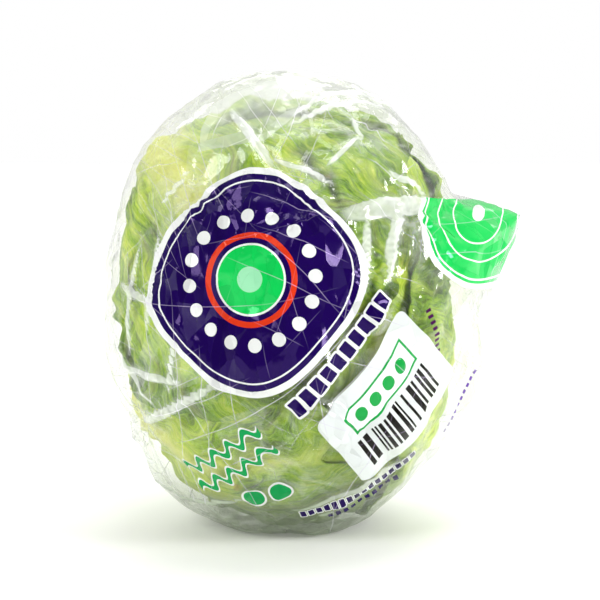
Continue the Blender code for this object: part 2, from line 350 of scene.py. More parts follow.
def leaf_relief(u, v, side, along, ways, layer):
    """The height of the blade over its own layer, how pale it is, its edge and its grain.

    side and along are distances in metres from the rib and from the root. The veins are ridges at
    even steps of the angle seen from just behind the root, and twice and four times as many
    further out, which is how they divide. The grain counts streaks across and along the blade.
    """
    wobble = 0.22 * ripples(ways, 0.45, 40 + layer) + 0.07 * ripples(ways, 0.16, 60 + layer)
    fan = np.arctan2(side, along + 0.016) / VEIN_ANGLE + wobble
    first = ridge(fan, 0.17) * (1 - 0.6 * v)
    second = ridge(2 * fan, 0.17) * smooth_step((along - 0.03) / 0.05)
    third = ridge(4 * fan, 0.24) * smooth_step((along - 0.07) / 0.06)
    veins = VEIN_HEIGHT * (first + 0.55 * second + 0.30 * third)

    rib_width = 0.0030 + 0.0100 * (1 - v) ** 1.6
    rib = np.exp(-((side / rib_width) ** 2))
    pucker = PUCKER_HEIGHTS[0] * ripples(ways, 0.19, 80 + layer)
    pucker += PUCKER_HEIGHTS[1] * ripples(ways, 0.08, 90 + layer)
    swell = SWELL_HEIGHT * ripples(ways, 0.50, 70 + layer)
    edge = np.maximum(np.abs(u) ** 5, smooth_step((v - 0.86) / 0.14))
    wave = np.sin(2 * math.pi * 5 * v + 1.7 * layer + 2.2 * u)
    frill = ripples(ways, 0.13, 20 + layer)
    height = RIB_HEIGHT * rib * (1 - v) ** 0.8 + veins * (1 - 0.7 * edge) + swell
    lift = EDGE_LIFT + EDGE_WAVE * wave + EDGE_FRILL * frill
    height += pucker * (0.4 + 0.6 * np.minimum(1, v * 2)) + edge * lift
    height -= ROOT_DIP * (1 - smooth_step(v / 0.16))

    pale = 0.90 * rib * (1 - 0.55 * v) + 0.34 * first + 0.16 * second + 0.08 * third
    pale += 0.75 * (1 - smooth_step((along - 0.012) / 0.045))
    pale += 0.42 * np.exp(-((side / GLOW_WIDTH) ** 2)) * (1 - smooth_step((v - 0.55) / 0.25))
    streaks_across = fan * VEIN_ANGLE * 0.09 / STREAK_WIDTH
    grain = np.stack([streaks_across, along / STREAK_LENGTH, np.full(len(u), 7.3 * layer)], axis=1)
    return height, np.clip(pale * (1 - 0.6 * edge), 0, 1), edge, grain


print("ribs stand", RIB_HEIGHT * 1000, "mm high, and veins", VEIN_HEIGHT * 1000, "mm")

# %% Torn and folded edges
# Each edge on the outermost leaf: from and to in the picture, how high the blade on the left of
# the way stands over the one on the right, and how soon that dies away
OVERLAPS = (
    ((214, 136), (334, 119), 0.0030, 0.014),
    ((296, 146), (346, 212), 0.0026, 0.013),
    ((352, 128), (408, 176), 0.0022, 0.012),
    ((166, 452), (268, 484), 0.0030, 0.015),
    ((176, 490), (274, 524), 0.0026, 0.012),
    ((300, 440), (352, 492), 0.0022, 0.012),
    ((150, 250), (140, 385), 0.0026, 0.012),
    ((392, 286), (352, 330), 0.0022, 0.010),
)


def overlap_steps(ways):
    """How far torn edges lift the blade, its lip and its painted shade: a step up at each wavy line."""
    rise, lip, shade = (np.zeros(len(ways)) for _ in range(3))
    for k, (start_pixel, end_pixel, height, fall) in enumerate(OVERLAPS):
        start, end = head_way(start_pixel), head_way(end_pixel)
        normal = unit(np.cross(start, end))
        off = ways @ normal * BALL_RADIUS + 0.0022 * ripples(ways, 0.22, 110 + k)
        off += 0.0007 * ripples(ways, 0.06, 130 + k)
        span = np.arccos(np.clip(start @ end, -1, 1))
        step = np.arctan2(ways @ np.cross(normal, start), ways @ start) / span
        ends = smooth_step((step + 0.1) / 0.35) * smooth_step((1.1 - step) / 0.35)
        rise += height * ends * smooth_step(off / 0.0009 + 0.5) * np.clip(1 - off / fall, 0, 1)
        lip = np.maximum(lip, ends * np.exp(-(((off - 0.0010) / 0.0013) ** 2)))
        # Painted shadow: a dark band just below each edge, as if cast by the lifted blade
        shade = np.maximum(shade, ends * np.exp(-(((off + 0.0018) / 0.0024) ** 2)))
    return rise, lip, shade


print("torn edges", len(OVERLAPS))


# %% One leaf
def leaf(layer, rows, columns):
    """One leaf as a grid laid over those inside it. Layer 0 is the innermost."""
    outwards = LEAF_COUNT - 1 - layer
    angle = GOLDEN_ANGLE * outwards
    first = across(STEM_WAY, OUTER_RIB_THROUGH)
    second = np.cross(STEM_WAY, first)
    rib_way = math.cos(angle) * first + math.sin(angle) * second
    side_way = np.cross(STEM_WAY, rib_way)

    v, c = np.meshgrid(np.linspace(0, 1, rows), np.linspace(-1, 1, columns), indexing="ij")
    v, c = v.ravel(), c.ravel()
    u = np.sign(c) * np.abs(c) ** 1.2
    tip_angle = OUTER_TIP_ANGLE + TIP_ANGLE_STEP * outwards
    span = tip_angle - LEAF_ROOT_ANGLE
    outline = 1 + 0.05 * np.sin(7 * v + 2 * layer + np.sign(u)) + 0.02 * np.sin(31 * v + 5 * layer)
    opening = LEAF_ROOT_SPREAD + (1 - LEAF_ROOT_SPREAD) * np.sin(np.clip(v / 0.45, 0, 1) * math.pi / 2)
    rounding = np.sqrt(1 - np.clip((v - 0.6) / 0.4, 0, 1) ** 2)
    closing = LEAF_TIP_SPREAD + (1 - LEAF_TIP_SPREAD) * rounding
    tilt = u * LEAF_HALF_SPREAD * opening * closing * outline
    tip_curve = 1 + 0.035 * np.sin(5 * u + layer) * v
    along = LEAF_ROOT_ANGLE + v * span * tip_curve
    on_rib = np.cos(along)[:, None] * STEM_WAY + np.sin(along)[:, None] * rib_way
    ways = np.cos(tilt)[:, None] * on_rib + np.sin(tilt)[:, None] * side_way

    side, from_root = tilt * BALL_RADIUS, v * span * BALL_RADIUS
    height, pale, edge, grain = leaf_relief(u, v, side, from_root, ways, layer)
    # Only the outermost leaf gets painted shade below its torn edges
    shade = np.zeros(len(ways))
    if outwards == 0:
        rise, lip, shade = overlap_steps(ways)
        height, edge = height + rise, np.maximum(edge, 0.5 * lip)
    own = head_reach(ways) - OUTER_LAYER_DEPTH - LAYER_STEP * outwards + height
    below = leaf_map.read(ways, leaf_map.settled()) + LEAF_GAP
    reach = np.maximum(own, below + 0.25 * height)
    points = HEAD_CENTRE + ways * reach[:, None]
    points[:, 2] = np.maximum(points[:, 2], LEAF_REST_Z + 0.0003 * outwards)
    leaf_map.add(points)

    faces = outward(points, grid_faces(rows, columns), HEAD_CENTRE)
    depth = np.full(len(points), outwards / (LEAF_COUNT - 1))
    looks = {"pale": pale, "margin": edge, "inner": depth, "grain": grain, "shade": shade}
    made = mesh_object(f"leaf_{layer}", points, faces, looks)
    wall = made.modifiers.new("blade", "SOLIDIFY")
    wall.thickness = LEAF_THICKNESS
    wall.offset = -1.0
    return made


print("points of a leaf in sight", OUTER_LEAF_GRID[0] * OUTER_LEAF_GRID[1])


# %% The heart
def heart():
    """The tight inner ball that shows only through the gaps between leaves, with the same streaks."""
    rows, columns = HEART_GRID
    polar, turn = np.meshgrid(
        np.linspace(0.0, math.pi, rows), np.linspace(0, 2 * math.pi, columns + 1)[:-1], indexing="ij"
    )
    polar, turn = polar.ravel(), turn.ravel()
    first = across(STEM_WAY, OUTER_RIB_THROUGH)
    second = np.cross(STEM_WAY, first)
    round_ways = np.cos(turn)[:, None] * first + np.sin(turn)[:, None] * second
    ways = np.cos(polar)[:, None] * STEM_WAY + np.sin(polar)[:, None] * round_ways
    streaks = ridge(turn * 24 / math.pi + ripples(ways, 0.4, 3), 0.2)
    height = 0.0006 * streaks + 0.0008 * ripples(ways, 0.2, 4)
    inner_depth = OUTER_LAYER_DEPTH + LAYER_STEP * LEAF_COUNT + 0.0015
    reach = head_reach(ways) - inner_depth + height * np.sin(polar)
    points = HEAD_CENTRE + ways * reach[:, None]
    points[:, 2] = np.maximum(points[:, 2], LEAF_REST_Z + 0.0040)
    leaf_map.add(points)
    faces = outward(points, turned_faces(rows, columns), HEAD_CENTRE)
    looks = {
        "pale": 0.5 + 0.3 * streaks,
        "margin": np.zeros(len(points)),
        "inner": np.ones(len(points)),
        "grain": np.stack([turn * 30, polar * 5, np.zeros(len(points))], axis=1),
        # Painted shade: the heart, seen only through gaps, is darkened all over
        "shade": np.full(len(points), 0.3),
    }
    made = mesh_object("heart", points, faces, looks)
    close_poles(made)
    return made


lettuce = [heart()]
print("heart points", len(lettuce[0].data.vertices))

# %% Grow the leaves from the inside out
for layer in range(LEAF_COUNT):
    in_sight = layer >= LEAF_COUNT - OUTER_LEAVES
    lettuce.append(leaf(layer, *(OUTER_LEAF_GRID if in_sight else INNER_LEAF_GRID)))
print("leaves", len(lettuce) - 1, "points", sum(len(o.data.vertices) for o in lettuce))

# %% [markdown]
# ## The cut stump
#
# The stump is a short round stalk, cut with a knife when the head was picked. Its cut face
# bulges a little, with a softer pith in the middle and a ring of dots where the leaf bundles
# run. The real face turns rusty within hours. A profile turned round the stem's axis gives the
# shape, and a slight wobble in the radius keeps it from looking lathed.


# %% The cut stem
STEM_HALF_LENGTH = 0.017
STEM_PROFILE_POINTS = 70
STEM_TURNS = 96
BUNDLES = 22
BUNDLE_RING = 0.62

# Radius and height along the side and over the cut face, as shares of the two sizes above
STEM_SIDE = [(0.0, -1.0), (0.80, -1.0), (0.90, -0.96), (0.93, -0.80), (0.985, 0.80), (0.995, 0.93)]
STEM_CUT = [(0.965, 0.985), (0.90, 1.01), (0.78, 1.015), (0.55, 1.0), (0.40, 0.985), (0.25, 1.0),
            (0.0, 1.01)]


def cut_stem():
    """A turned profile: a radius and a height along it, and a radius that wobbles as it turns."""
    low, high = (np.array(corner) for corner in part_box("cut_stem"))
    middle = (low + high) / 2
    first = across(STEM_WAY, (1, 0, 0))
    second = np.cross(STEM_WAY, first)
    half_length, turns = STEM_HALF_LENGTH, STEM_TURNS
    profile = np.array(STEM_SIDE + STEM_CUT)
    fine = np.linspace(0, len(profile) - 1, STEM_PROFILE_POINTS)
    radius = np.interp(fine, np.arange(len(profile)), profile[:, 0]) * STEM_RADIUS
    height = np.interp(fine, np.arange(len(profile)), profile[:, 1]) * half_length
    turn = np.arange(turns) / turns * 2 * math.pi
    wobble = 1 - 0.012 + 0.010 * np.sin(3 * turn + 0.5) + 0.004 * np.sin(7 * turn)
    around = np.cos(turn)[:, None] * first + np.sin(turn)[:, None] * second
    spread = radius[:, None, None] * wobble[None, :, None] * around[None, :, :]
    points = middle + spread + height[:, None, None] * STEM_WAY
    dots = 0.5 + 0.5 * np.cos(BUNDLES * turn)
    ring = np.exp(-(((radius / STEM_RADIUS - BUNDLE_RING) / 0.08) ** 2))
    on_face = smooth_step((height / half_length - 0.93) / 0.05)
    bundle = (ring * on_face)[:, None] * dots[None, :]
    points = points.reshape(-1, 3) + 0.0003 * (bundle.ravel()[:, None] * STEM_WAY)
    points += 0.00018 * ripples(points, 0.0035, 7)[:, None] * STEM_WAY
    looks = {
        "cut": np.repeat(on_face, turns),
        "bundle": bundle.ravel(),
        "radius": np.repeat(radius / STEM_RADIUS, turns),
    }
    faces = outward(points, turned_faces(len(fine), turns), middle)
    made = mesh_object("cut_stump", points, faces, looks)
    close_poles(made)
    return made


stump = cut_stem()
print("stump points", len(stump.data.vertices))

# %% [markdown]
# ## The film
#
# The wrap is a square sheet of thin clear polythene. Its middle lies over the front of the head,
# and its edges are drawn together behind the stump. So the surface is a square grid: the square
# is rounded to a disc, and the disc is drawn over the ball, which puts the only seam in the
# gathered tail. A loose film crumples: it stays flat in small facets and bends only along sharp
# straight creases. That is how it is built here. Random points on the ball get random depths,
# the depths are blended over the triangles between them, and three such nets, coarse to fine,
# are added. Long folds, and stars where the film is pinched, are given one by one.

# %% Film sizes
FILM_CELLS = 314
SHEET_SIDE = 0.32
BODY_RINGS = 22
TAIL_RINGS = 7
TAIL_FROM = math.radians(157)
NECK_RADIUS = 0.0055
PLEATS = 17
PLEAT_FROM = math.radians(96)
PLEAT_RISE = 0.0016
NECK_LIFT = 0.0035
TAIL_RADIUS = 0.0150
TAIL_LENGTH = 0.0145
EAR_ANGLE = math.radians(22)
EAR_REACH = 0.0925
EAR_FALL_UP = math.radians(13)
EAR_FALL_DOWN = math.radians(23)
EAR_FALL_FRONT = math.radians(36)
EAR_FALL_BACK = math.radians(16)
SLACK_PLACES = (
    ((-0.66, -0.10, 0.75), 0.0030, math.radians(34)),
    ((0.90, -0.05, -0.42), 0.0038, math.radians(36)),
    ((-0.53, -0.20, -0.82), 0.0034, math.radians(30)),
)
FRONT_PRESS = 0.0030
FILM_CLEAR = 0.0004
FILM_REST_Z, FILM_REST_RIPPLE = 0.0004, 0.00012
CREASE_FROM, CREASE_SPAN = 0.00006, 0.00028
print("film cells of", round(SHEET_SIDE / FILM_CELLS * 1000, 2), "mm")


# %% The plain wrap, before it crumples
def ear_rise(ways, plain):
    """How far the loose corner stands out: a tent that falls to nothing at its own angle each way."""
    in_plane = np.arctan2(ways[:, 2], ways[:, 0]) - EAR_ANGLE
    off_plane = np.arcsin(np.clip(-ways[:, 1], -1, 1))
    fall = np.where(in_plane > 0, in_plane / EAR_FALL_UP, -in_plane / EAR_FALL_DOWN)
    lean = np.where(off_plane > 0, off_plane / EAR_FALL_FRONT, -off_plane / EAR_FALL_BACK)
    share = np.clip(1 - fall, 0, 1) * np.clip(1 - lean, 0, 1)
    return (EAR_REACH - plain) * share


def plain_reach(ways):
    """How far the wrap would reach if it were smooth: ellipsoid, slack places and loose corner."""
    plain = reach_of(ways, WRAP_HALF) + swells(ways, SLACK_PLACES)
    return plain + ear_rise(ways, plain)


print("the smooth wrap reaches", (plain_reach(FRONT_WAY) * 1000).round(1), "mm to the front")


# %% The sheet's grid, rounded to a disc and drawn over the ball
def sheet_places():
    """Each grid point's ring, from 0 in front to the tail's end, its turn round the stem's axis,
    and its place on the flat sheet in metres.
    """
    side = np.linspace(-1, 1, FILM_CELLS + 1)
    x, y = (g.ravel() for g in np.meshgrid(side, side, indexing="ij"))
    disc_x = x * np.sqrt(1 - y * y / 2)
    disc_y = y * np.sqrt(1 - x * x / 2)
    ring = np.hypot(disc_x, disc_y) * (BODY_RINGS + TAIL_RINGS)
    flat = np.stack([x, y, np.zeros(len(x))], axis=1) * SHEET_SIDE / 2
    return ring, np.arctan2(disc_y, disc_x), flat


first_way = across(STEM_WAY, (math.cos(EAR_ANGLE), 0, math.sin(EAR_ANGLE)))
second_way = np.cross(STEM_WAY, first_way)
ring, turn, flat_sheet = sheet_places()
round_ways = np.cos(turn)[:, None] * first_way + np.sin(turn)[:, None] * second_way
polar = np.minimum(ring / BODY_RINGS, 1) * TAIL_FROM
ways = np.sin(polar)[:, None] * round_ways - np.cos(polar)[:, None] * STEM_WAY
smooth_film = WRAP_CENTRE + ways * plain_reach(ways)[:, None]
picture_x, picture_y, nearness = in_picture(smooth_film)
print("film points", len(ways))

# %% Facets: random depths blended over the triangles of random points
# Each net: how many points, how deep, and the seed of its draw
FACET_NETS = ((150, 0.0017, 5), (800, 0.0008, 6), (3200, 0.00032, 7))


def spread_points(count, seed):
    """Points spread evenly over the ball along a spiral, each then nudged at random."""
    draw = np.random.default_rng(seed)
    k = np.arange(count) + 0.5
    height = 1 - 2 * k / count
    angle = math.pi * (1 + math.sqrt(5)) * k
    flat = np.sqrt(1 - height**2)
    points = np.stack([flat * np.cos(angle), flat * np.sin(angle), height], axis=1)
    return unit(points + draw.normal(size=points.shape) * 1.1 / math.sqrt(count))


def facets(ways, points, depths):
    """The depth at each direction, blended flat over the hull triangle that the direction passes.

    A direction is a sum of a triangle's three corners, each times a share, and it passes the one
    triangle where no share is below 0.
    """
    hull = bmesh.new()
    for point in points:
        hull.verts.new(point)
    bmesh.ops.convex_hull(hull, input=hull.verts)
    hull.verts.index_update()
    triangles = np.array([[v.index for v in face.verts] for face in hull.faces])
    hull.free()
    corners = np.stack([points[triangles[:, k]] for k in range(3)], axis=2)
    inverse = np.linalg.inv(corners).astype(np.float32)
    result = np.empty(len(ways))
    for start in range(0, len(ways), 4000):
        part = ways[start : start + 4000].astype(np.float32)
        least = part @ inverse[:, 0].T
        for k in (1, 2):
            np.minimum(least, part @ inverse[:, k].T, out=least)
        face = least.argmax(axis=1)
        share = np.clip(np.einsum("nij,nj->ni", inverse[face], part), 0, None)
        share /= share.sum(axis=1, keepdims=True)
        result[start : start + 4000] = (share * depths[triangles[face]]).sum(axis=1)
    return result


print("points in the nets", [count for count, _, _ in FACET_NETS])

# %% Stars where the film is pinched
# Each pinch: where it falls in the picture in pixels, its spokes and its reach
PINCHES = (
    ((139, 421), 9, 0.016),
    ((293, 477), 8, 0.012),
    ((300, 205), 7, 0.012),
    ((415, 210), 8, 0.013),
    ((365, 132), 7, 0.011),
    ((190, 195), 7, 0.010),
)
PINCH_DEPTH = 0.0022
PINCH_RINGS = ((0.45, 0.0011), (1.0, 0.0009), (1.7, 0.0005))


def way_at(pixel):
    """The direction from the wrap's centre to the film point that falls nearest to a pixel in front."""
    away = np.hypot(picture_x - pixel[0], picture_y - pixel[1]) + np.where(nearness > 0, 0, 1e4)
    return ways[np.argmin(away)]


def with_stars(points, depths):
    """The net with every pinch's star put in: a sunk middle, and spokes that stand and sink in turn."""
    for pixel, spokes, arm in PINCHES:
        middle = way_at(pixel)
        clear = np.arccos(np.clip(points @ middle, -1, 1)) * BALL_RADIUS > arm * 1.9
        points, depths = points[clear], depths[clear]
        east = across(middle, (0.3, 0.2, 1.0))
        north = np.cross(middle, east)
        k = np.arange(2 * spokes)
        angle = k * math.pi / spokes + 0.35 * np.sin(k * 2.4) / spokes
        spoke = np.cos(angle)[:, None] * east + np.sin(angle)[:, None] * north
        up_down = np.where(k % 2 == 0, 1.0, -1.0)
        star = [middle[None, :]]
        rise = [np.array([-PINCH_DEPTH])]
        for share, height in PINCH_RINGS:
            star.append(unit(middle + spoke * math.tan(arm * share / BALL_RADIUS)))
            rise.append(up_down * height)
        points = np.concatenate([points, *star])
        depths = np.concatenate([depths, *rise])
    return points, depths


print("pinches", len(PINCHES))

# %% Long folds
# Each fold: from and to in the picture, and how high and how wide it is in metres
FOLDS = (
    ((138, 421), (209, 386), 0.0016, 0.0030),
    ((209, 386), (262, 392), 0.0009, 0.0020),
    ((122, 364), (172, 385), 0.0012, 0.0026),
    ((120, 283), (156, 304), 0.0012, 0.0026),
    ((108, 312), (150, 402), 0.0010, 0.0022),
    ((234, 112), (272, 160), 0.0014, 0.0028),
    ((276, 154), (330, 178), 0.0010, 0.0016),
    ((300, 104), (392, 101), 0.0011, 0.0022),
    ((292, 118), (380, 108), 0.0009, 0.0018),
    ((352, 118), (365, 132), 0.0009, 0.0016),
    ((365, 132), (330, 160), 0.0010, 0.0018),
    ((392, 172), (425, 192), 0.0011, 0.0022),
    ((398, 218), (393, 280), 0.0012, 0.0026),
    ((372, 222), (368, 292), 0.0010, 0.0030),
    ((402, 460), (300, 512), 0.0010, 0.0018),
    ((386, 470), (312, 520), 0.0009, 0.0015),
    ((150, 470), (240, 500), 0.0010, 0.0018),
    ((130, 430), (152, 462), 0.0012, 0.0020),
    ((160, 200), (186, 172), 0.0010, 0.0018),
    ((476, 300), (452, 420), 0.0014, 0.0028),
    # These three wide ones raise a ridge too, but the white that they lay is painted glare
    ((350, 208), (432, 202), 0.0014, 0.0060),
    ((402, 206), (395, 258), 0.0012, 0.0042),
    ((470, 318), (462, 350), 0.0010, 0.0060),
    ((160, 240), (146, 330), 0.0012, 0.0022),
    ((136, 250), (128, 350), 0.0012, 0.0024),
    ((172, 330), (166, 392), 0.0009, 0.0016),
)


def fold_lines(ways):
    """Straight folds: a one-sided ridge on each line, and white for two-ply film and painted glare."""
    rise, doubled = np.zeros(len(ways)), np.zeros(len(ways))
    for start_pixel, end_pixel, height, width in FOLDS:
        start, end = way_at(start_pixel), way_at(end_pixel)
        normal = unit(np.cross(start, end))
        off = ways @ normal * BALL_RADIUS
        span = np.arccos(np.clip(start @ end, -1, 1))
        step = np.arctan2(ways @ np.cross(normal, start), ways @ start) / span
        ends = smooth_step((step + 0.25) / 0.3) * smooth_step((1.25 - step) / 0.3)
        ends *= np.einsum("ij,j->i", ways, start) > 0
        shape = np.clip(np.where(off > 0, 1 - off / (0.45 * width), 1 + off / width), 0, 1)
        taper = 0.5 + 0.5 * np.sin(math.pi * np.clip(step, 0, 1))
        rise += height * shape * ends * taper
        doubled = np.maximum(doubled, smooth_step(shape * 1.6) * ends * taper)
    return rise, doubled


print("folds", len(FOLDS))

# %% Crumple the film
crumpled = np.zeros(len(ways))
for count, depth, seed in FACET_NETS:
    net = spread_points(count, seed)
    draws = np.random.default_rng(seed + 50).uniform(-1, 1, len(net)) * depth
    if count == FACET_NETS[1][0]:
        net, draws = with_stars(net, draws)
    crumpled += facets(ways, net, draws)
fold_rise, doubled = fold_lines(ways)
print("crumple from", round(crumpled.min() * 1000, 2), "to", round(crumpled.max() * 1000, 2), "mm")

# %% [markdown]
# ## Laying the film on the leaves
#
# In front the film is drawn close, so the plain wrap is pressed in there, and then lifted to
# stay just clear of the leaves. The gap that is left matters for the look: film that touches a
# wet leaf goes clear, and film that stands off it stays milky. So the gap is kept as an
# attribute, with the sharpness of the creases, which turn white where the film is bent hard:
# partly the film's own whitening, and partly a painted highlight.


# %% Lay the film and gather its tail
def lay_film():
    """The reach of the crumpled film in each direction, and its gap to the leaves."""
    facing = np.clip(ways @ unit(TO_CAMERA + np.array((-0.1, 0, 0))), 0, 1)
    loose = 0.5 + 0.5 * ripples(ways, 0.9, 11)
    press = FRONT_PRESS * smooth_step((facing - 0.25) / 0.6) * (1 - 0.55 * loose)
    drawn = smooth_step((polar - PLEAT_FROM) / (TAIL_FROM - PLEAT_FROM)) ** 1.5
    bend = 0.35 * ripples(ways, 0.5, 21)
    pleat = np.abs(np.sin(PLEATS / 2 * turn + bend))
    pleat = pleat + 0.5 * np.abs(np.sin(18.5 * turn + 1.0 - bend)) - 0.9
    reach = plain_reach(ways) - press + crumpled + fold_rise + PLEAT_RISE * drawn * pleat
    from_head = unit(smooth_film - HEAD_CENTRE)
    leaf_reach = leaf_map.read(from_head, leaf_map.settled(1))
    leaf_out = HEAD_CENTRE + from_head * leaf_reach[:, None] - WRAP_CENTRE
    floor = np.linalg.norm(leaf_out, axis=1) + FILM_CLEAR
    reach = np.maximum(reach, floor + 0.25 * (crumpled - crumpled.min()))
    return reach, reach - floor


def gather(reach):
    """The tail: past TAIL_FROM the film draws in to a neck over the stump, then flares in pleats."""
    q = np.clip((ring - BODY_RINGS) / TAIL_RINGS, 0, 1)
    crown = reach_of(STEM_WAY[None, :], WRAP_HALF)[0]
    start_out = reach * math.sin(TAIL_FROM)
    start_up = -reach * math.cos(TAIL_FROM)
    to_neck = smooth_step(q / 0.55)
    to_end = smooth_step((q - 0.55) / 0.45)
    out = start_out + (NECK_RADIUS - start_out) * to_neck + (TAIL_RADIUS - NECK_RADIUS) * to_end
    rise = start_up + (crown + NECK_LIFT - start_up) * np.clip(q / 0.55, 0, 1)
    rise += (TAIL_LENGTH - NECK_LIFT) * np.clip((q - 0.55) / 0.45, 0, 1)
    pleat = 0.30 * np.sin(PLEATS * turn) + 0.12 * np.sin(37 * turn + 1.0) + 0.05 * np.sin(61 * turn)
    out = out * (1 + pleat * (0.4 + 0.6 * to_end) * smooth_step(q / 0.3))
    rise = rise + 0.0012 * np.sin(13 * turn + 2.0) * to_end
    return q, round_ways * out[:, None] + rise[:, None] * STEM_WAY


def around_mean(values):
    """The mean of each point's four neighbours on the sheet."""
    grid = np.pad(values.reshape(FILM_CELLS + 1, FILM_CELLS + 1), 1, mode="edge")
    total = grid[:-2, 1:-1] + grid[2:, 1:-1] + grid[1:-1, :-2] + grid[1:-1, 2:]
    return (total / 4).ravel()


film_reach, gap = lay_film()
# Creases turn white: partly the film's own whitening, partly a painted highlight
crease = np.abs(film_reach - around_mean(film_reach))
crease = np.clip((crease - CREASE_FROM) / CREASE_SPAN, 0, 1)
q, tail = gather(film_reach)
film_points = WRAP_CENTRE + np.where((q > 0)[:, None], tail, ways * film_reach[:, None])
film_floor = FILM_REST_Z + FILM_REST_RIPPLE * ripples(ways, 0.1, 9)
film_points[:, 2] = np.maximum(film_points[:, 2], film_floor)
print("gap in front", np.percentile(gap[nearness > 0.03] * 1000, (5, 50, 95)).round(2), "mm")
print("creased share", round(float((crease > 0.3).mean()), 3))

# %% [markdown]
# ## Where the prints lie
#
# The film is printed before it is cut, so a print belongs to the sheet and bends with it. Each
# print gets its own flat coordinates: its middle is carried from the picture onto the plain
# wrap, and its right and up are two directions that touch the wrap there. They are stored on
# the points, and the material draws plain shapes and stripes from them.

# %% Print coordinates on the film
# Each print's middle in the picture, how far it is turned, and how much it leans, as film that
# is drawn round a ball does not stay square
PRINTS = {
    "badge": ((249, 276), math.radians(48)),
    "panel": ((393, 407), math.radians(48), 0.12),
    "rule": ((343, 358), math.radians(50)),
    "waves": ((225, 468), math.radians(51)),
    "spots": ((265, 499), math.radians(44)),
    "foot": ((362, 494), math.radians(31)),
    "code": ((438, 343), math.radians(-54)),
    "side": ((463, 402), math.radians(55)),
}
BADGE_HALF = (0.0366, 0.0346)
BADGE_SQUARENESS = 2.8


def print_coordinates(pixel, turned, lean=0.0):
    """Metres to the right and upwards from the print's middle, and above 0 where it may show."""
    way = way_at(pixel)
    middle = WRAP_CENTRE + way * plain_reach(way[None, :])[0]
    level = math.cos(turned) * CAMERA_RIGHT + math.sin(turned) * CAMERA_UP
    right = across(way, level)
    up = np.cross(right, way)
    up *= np.sign(up @ CAMERA_UP)
    offset = smooth_film - middle
    shows = np.minimum(offset @ way + 0.045, 0.001 - 0.08 * ways[:, 1])
    return np.stack([offset @ right - lean * (offset @ up), offset @ up, shows], axis=1)


ROUNDEL_AT = (480, 212)
ROUNDEL_NARROWING = 0.78
ROUNDEL_TOP_ROW = 198
BADGE_CRINKLE, BARE_CRINKLE = 1.0, 0.45

film_attributes = {name: print_coordinates(*place) for name, place in PRINTS.items()}
level = (picture_x - ROUNDEL_AT[0]) * METRES_PER_PIXEL / ROUNDEL_NARROWING
upright = (ROUNDEL_AT[1] - picture_y) * METRES_PER_PIXEL
below_top = (picture_y - ROUNDEL_TOP_ROW) * METRES_PER_PIXEL
in_front = np.minimum(nearness + 0.003, below_top)
film_attributes["roundel"] = np.stack([level, upright, in_front], axis=1)
badge_place = np.abs(film_attributes["badge"][:, :2])
badge_form = ((badge_place / BADGE_HALF) ** BADGE_SQUARENESS).sum(axis=1)
on_badge = (badge_form < 1.1) & (film_attributes["badge"][:, 2] > 0)
bare_crinkle = BARE_CRINKLE + 0.3 * ripples(ways, 0.5, 31)
film_attributes["crinkle"] = np.where(on_badge, BADGE_CRINKLE, bare_crinkle)
film_attributes["gap"] = np.clip(gap * 1000, 0, 20)
film_attributes["crease"] = crease
film_attributes["sheet"] = flat_sheet
film_attributes["doubled"] = np.maximum(doubled, smooth_step((q - 0.15) / 0.5) * 0.7)
film_faces = outward(film_points, grid_faces(FILM_CELLS + 1, FILM_CELLS + 1), WRAP_CENTRE)
film = mesh_object("film", film_points, film_faces, film_attributes)
grid = film_points.reshape(FILM_CELLS + 1, FILM_CELLS + 1, 3)
hem = np.concatenate([grid[0], grid[1:, -1], grid[-1, -2::-1], grid[-2::-1, 0]])
hem_length = np.linalg.norm(np.diff(hem, axis=0), axis=1).sum()
area = sum(face.area for face in film.data.polygons)
print("film", round(area, 4), "square metres, hem", round(float(hem_length), 3), "metres")

# %% [markdown]
# ## Colours and nodes
#
# Colours are written as they look on a screen, in sRGB, and one function turns them into the
# linear values that the shader needs. Another adds a node with its settings and its links.


# %% Colour and node helpers
def linear(code):
    """An sRGB hex colour such as 8FB53A as linear red, green, blue and 1 for alpha."""
    share = [int(code[k : k + 2], 16) / 255 for k in (0, 2, 4)]
    return (*(s / 12.92 if s <= 0.04045 else ((s + 0.055) / 1.055) ** 2.4 for s in share), 1.0)


def node(tree, kind, inputs=None, **settings):
    """Adds a node, sets its settings, and sets or links each input.

    An input given as a node is linked to that node's first output.
    """
    made = tree.nodes.new("ShaderNode" + kind)
    for key, value in settings.items():
        setattr(made, key, value)
    for key, value in (inputs or {}).items():
        if isinstance(value, bpy.types.Node):
            value = value.outputs[0]
        if isinstance(value, bpy.types.NodeSocket):
            tree.links.new(value, made.inputs[key])
        else:
            made.inputs[key].default_value = value
    return made


def new_material(name):
    """A material with an empty tree, and that tree."""
    made = bpy.data.materials.new(name)
    made.use_nodes = True
    made.node_tree.nodes.clear()
    return made, made.node_tree


def set_ramp(ramp_node, stops, how="LINEAR"):
    """Gives a Color Ramp its stops, each a place from 0 to 1 and a linear colour."""
    ramp = ramp_node.color_ramp
    ramp.interpolation = how
    while len(ramp.elements) > 1:
        ramp.elements.remove(ramp.elements[-1])
    ramp.elements[0].position, ramp.elements[0].color = stops[0][0], stops[0][1]
    for place, colour in stops[1:]:
        ramp.elements.new(place).color = colour
    return ramp_node.outputs["Color"]


print("mid green", [round(c, 3) for c in linear("8FB53A")])

# %% [markdown]
# ## Lettuce leaf
#
# A lettuce leaf is a thin wet sheet full of water and air: light goes in and comes out a little
# further on, so it glows rather than shines, and its waxy skin gives a soft gloss. The blade is
# a fresh yellow green, deeper where the leaf is thick with colour, and the rib and veins are
# nearly white. Painted shade darkens it to a near-black green just below torn edges, over the
# heart and in its lowest two centimetres. Fine streaks follow the veins, so their pattern reads
# the `grain` attribute, which counts streaks across and along each leaf. A faint net, a few
# millimetres across, dents the skin.

# %% Leaf material
LEAF_NET_MM = 3.4
BLOTCH_MM = 24
SPOT_MM = 9


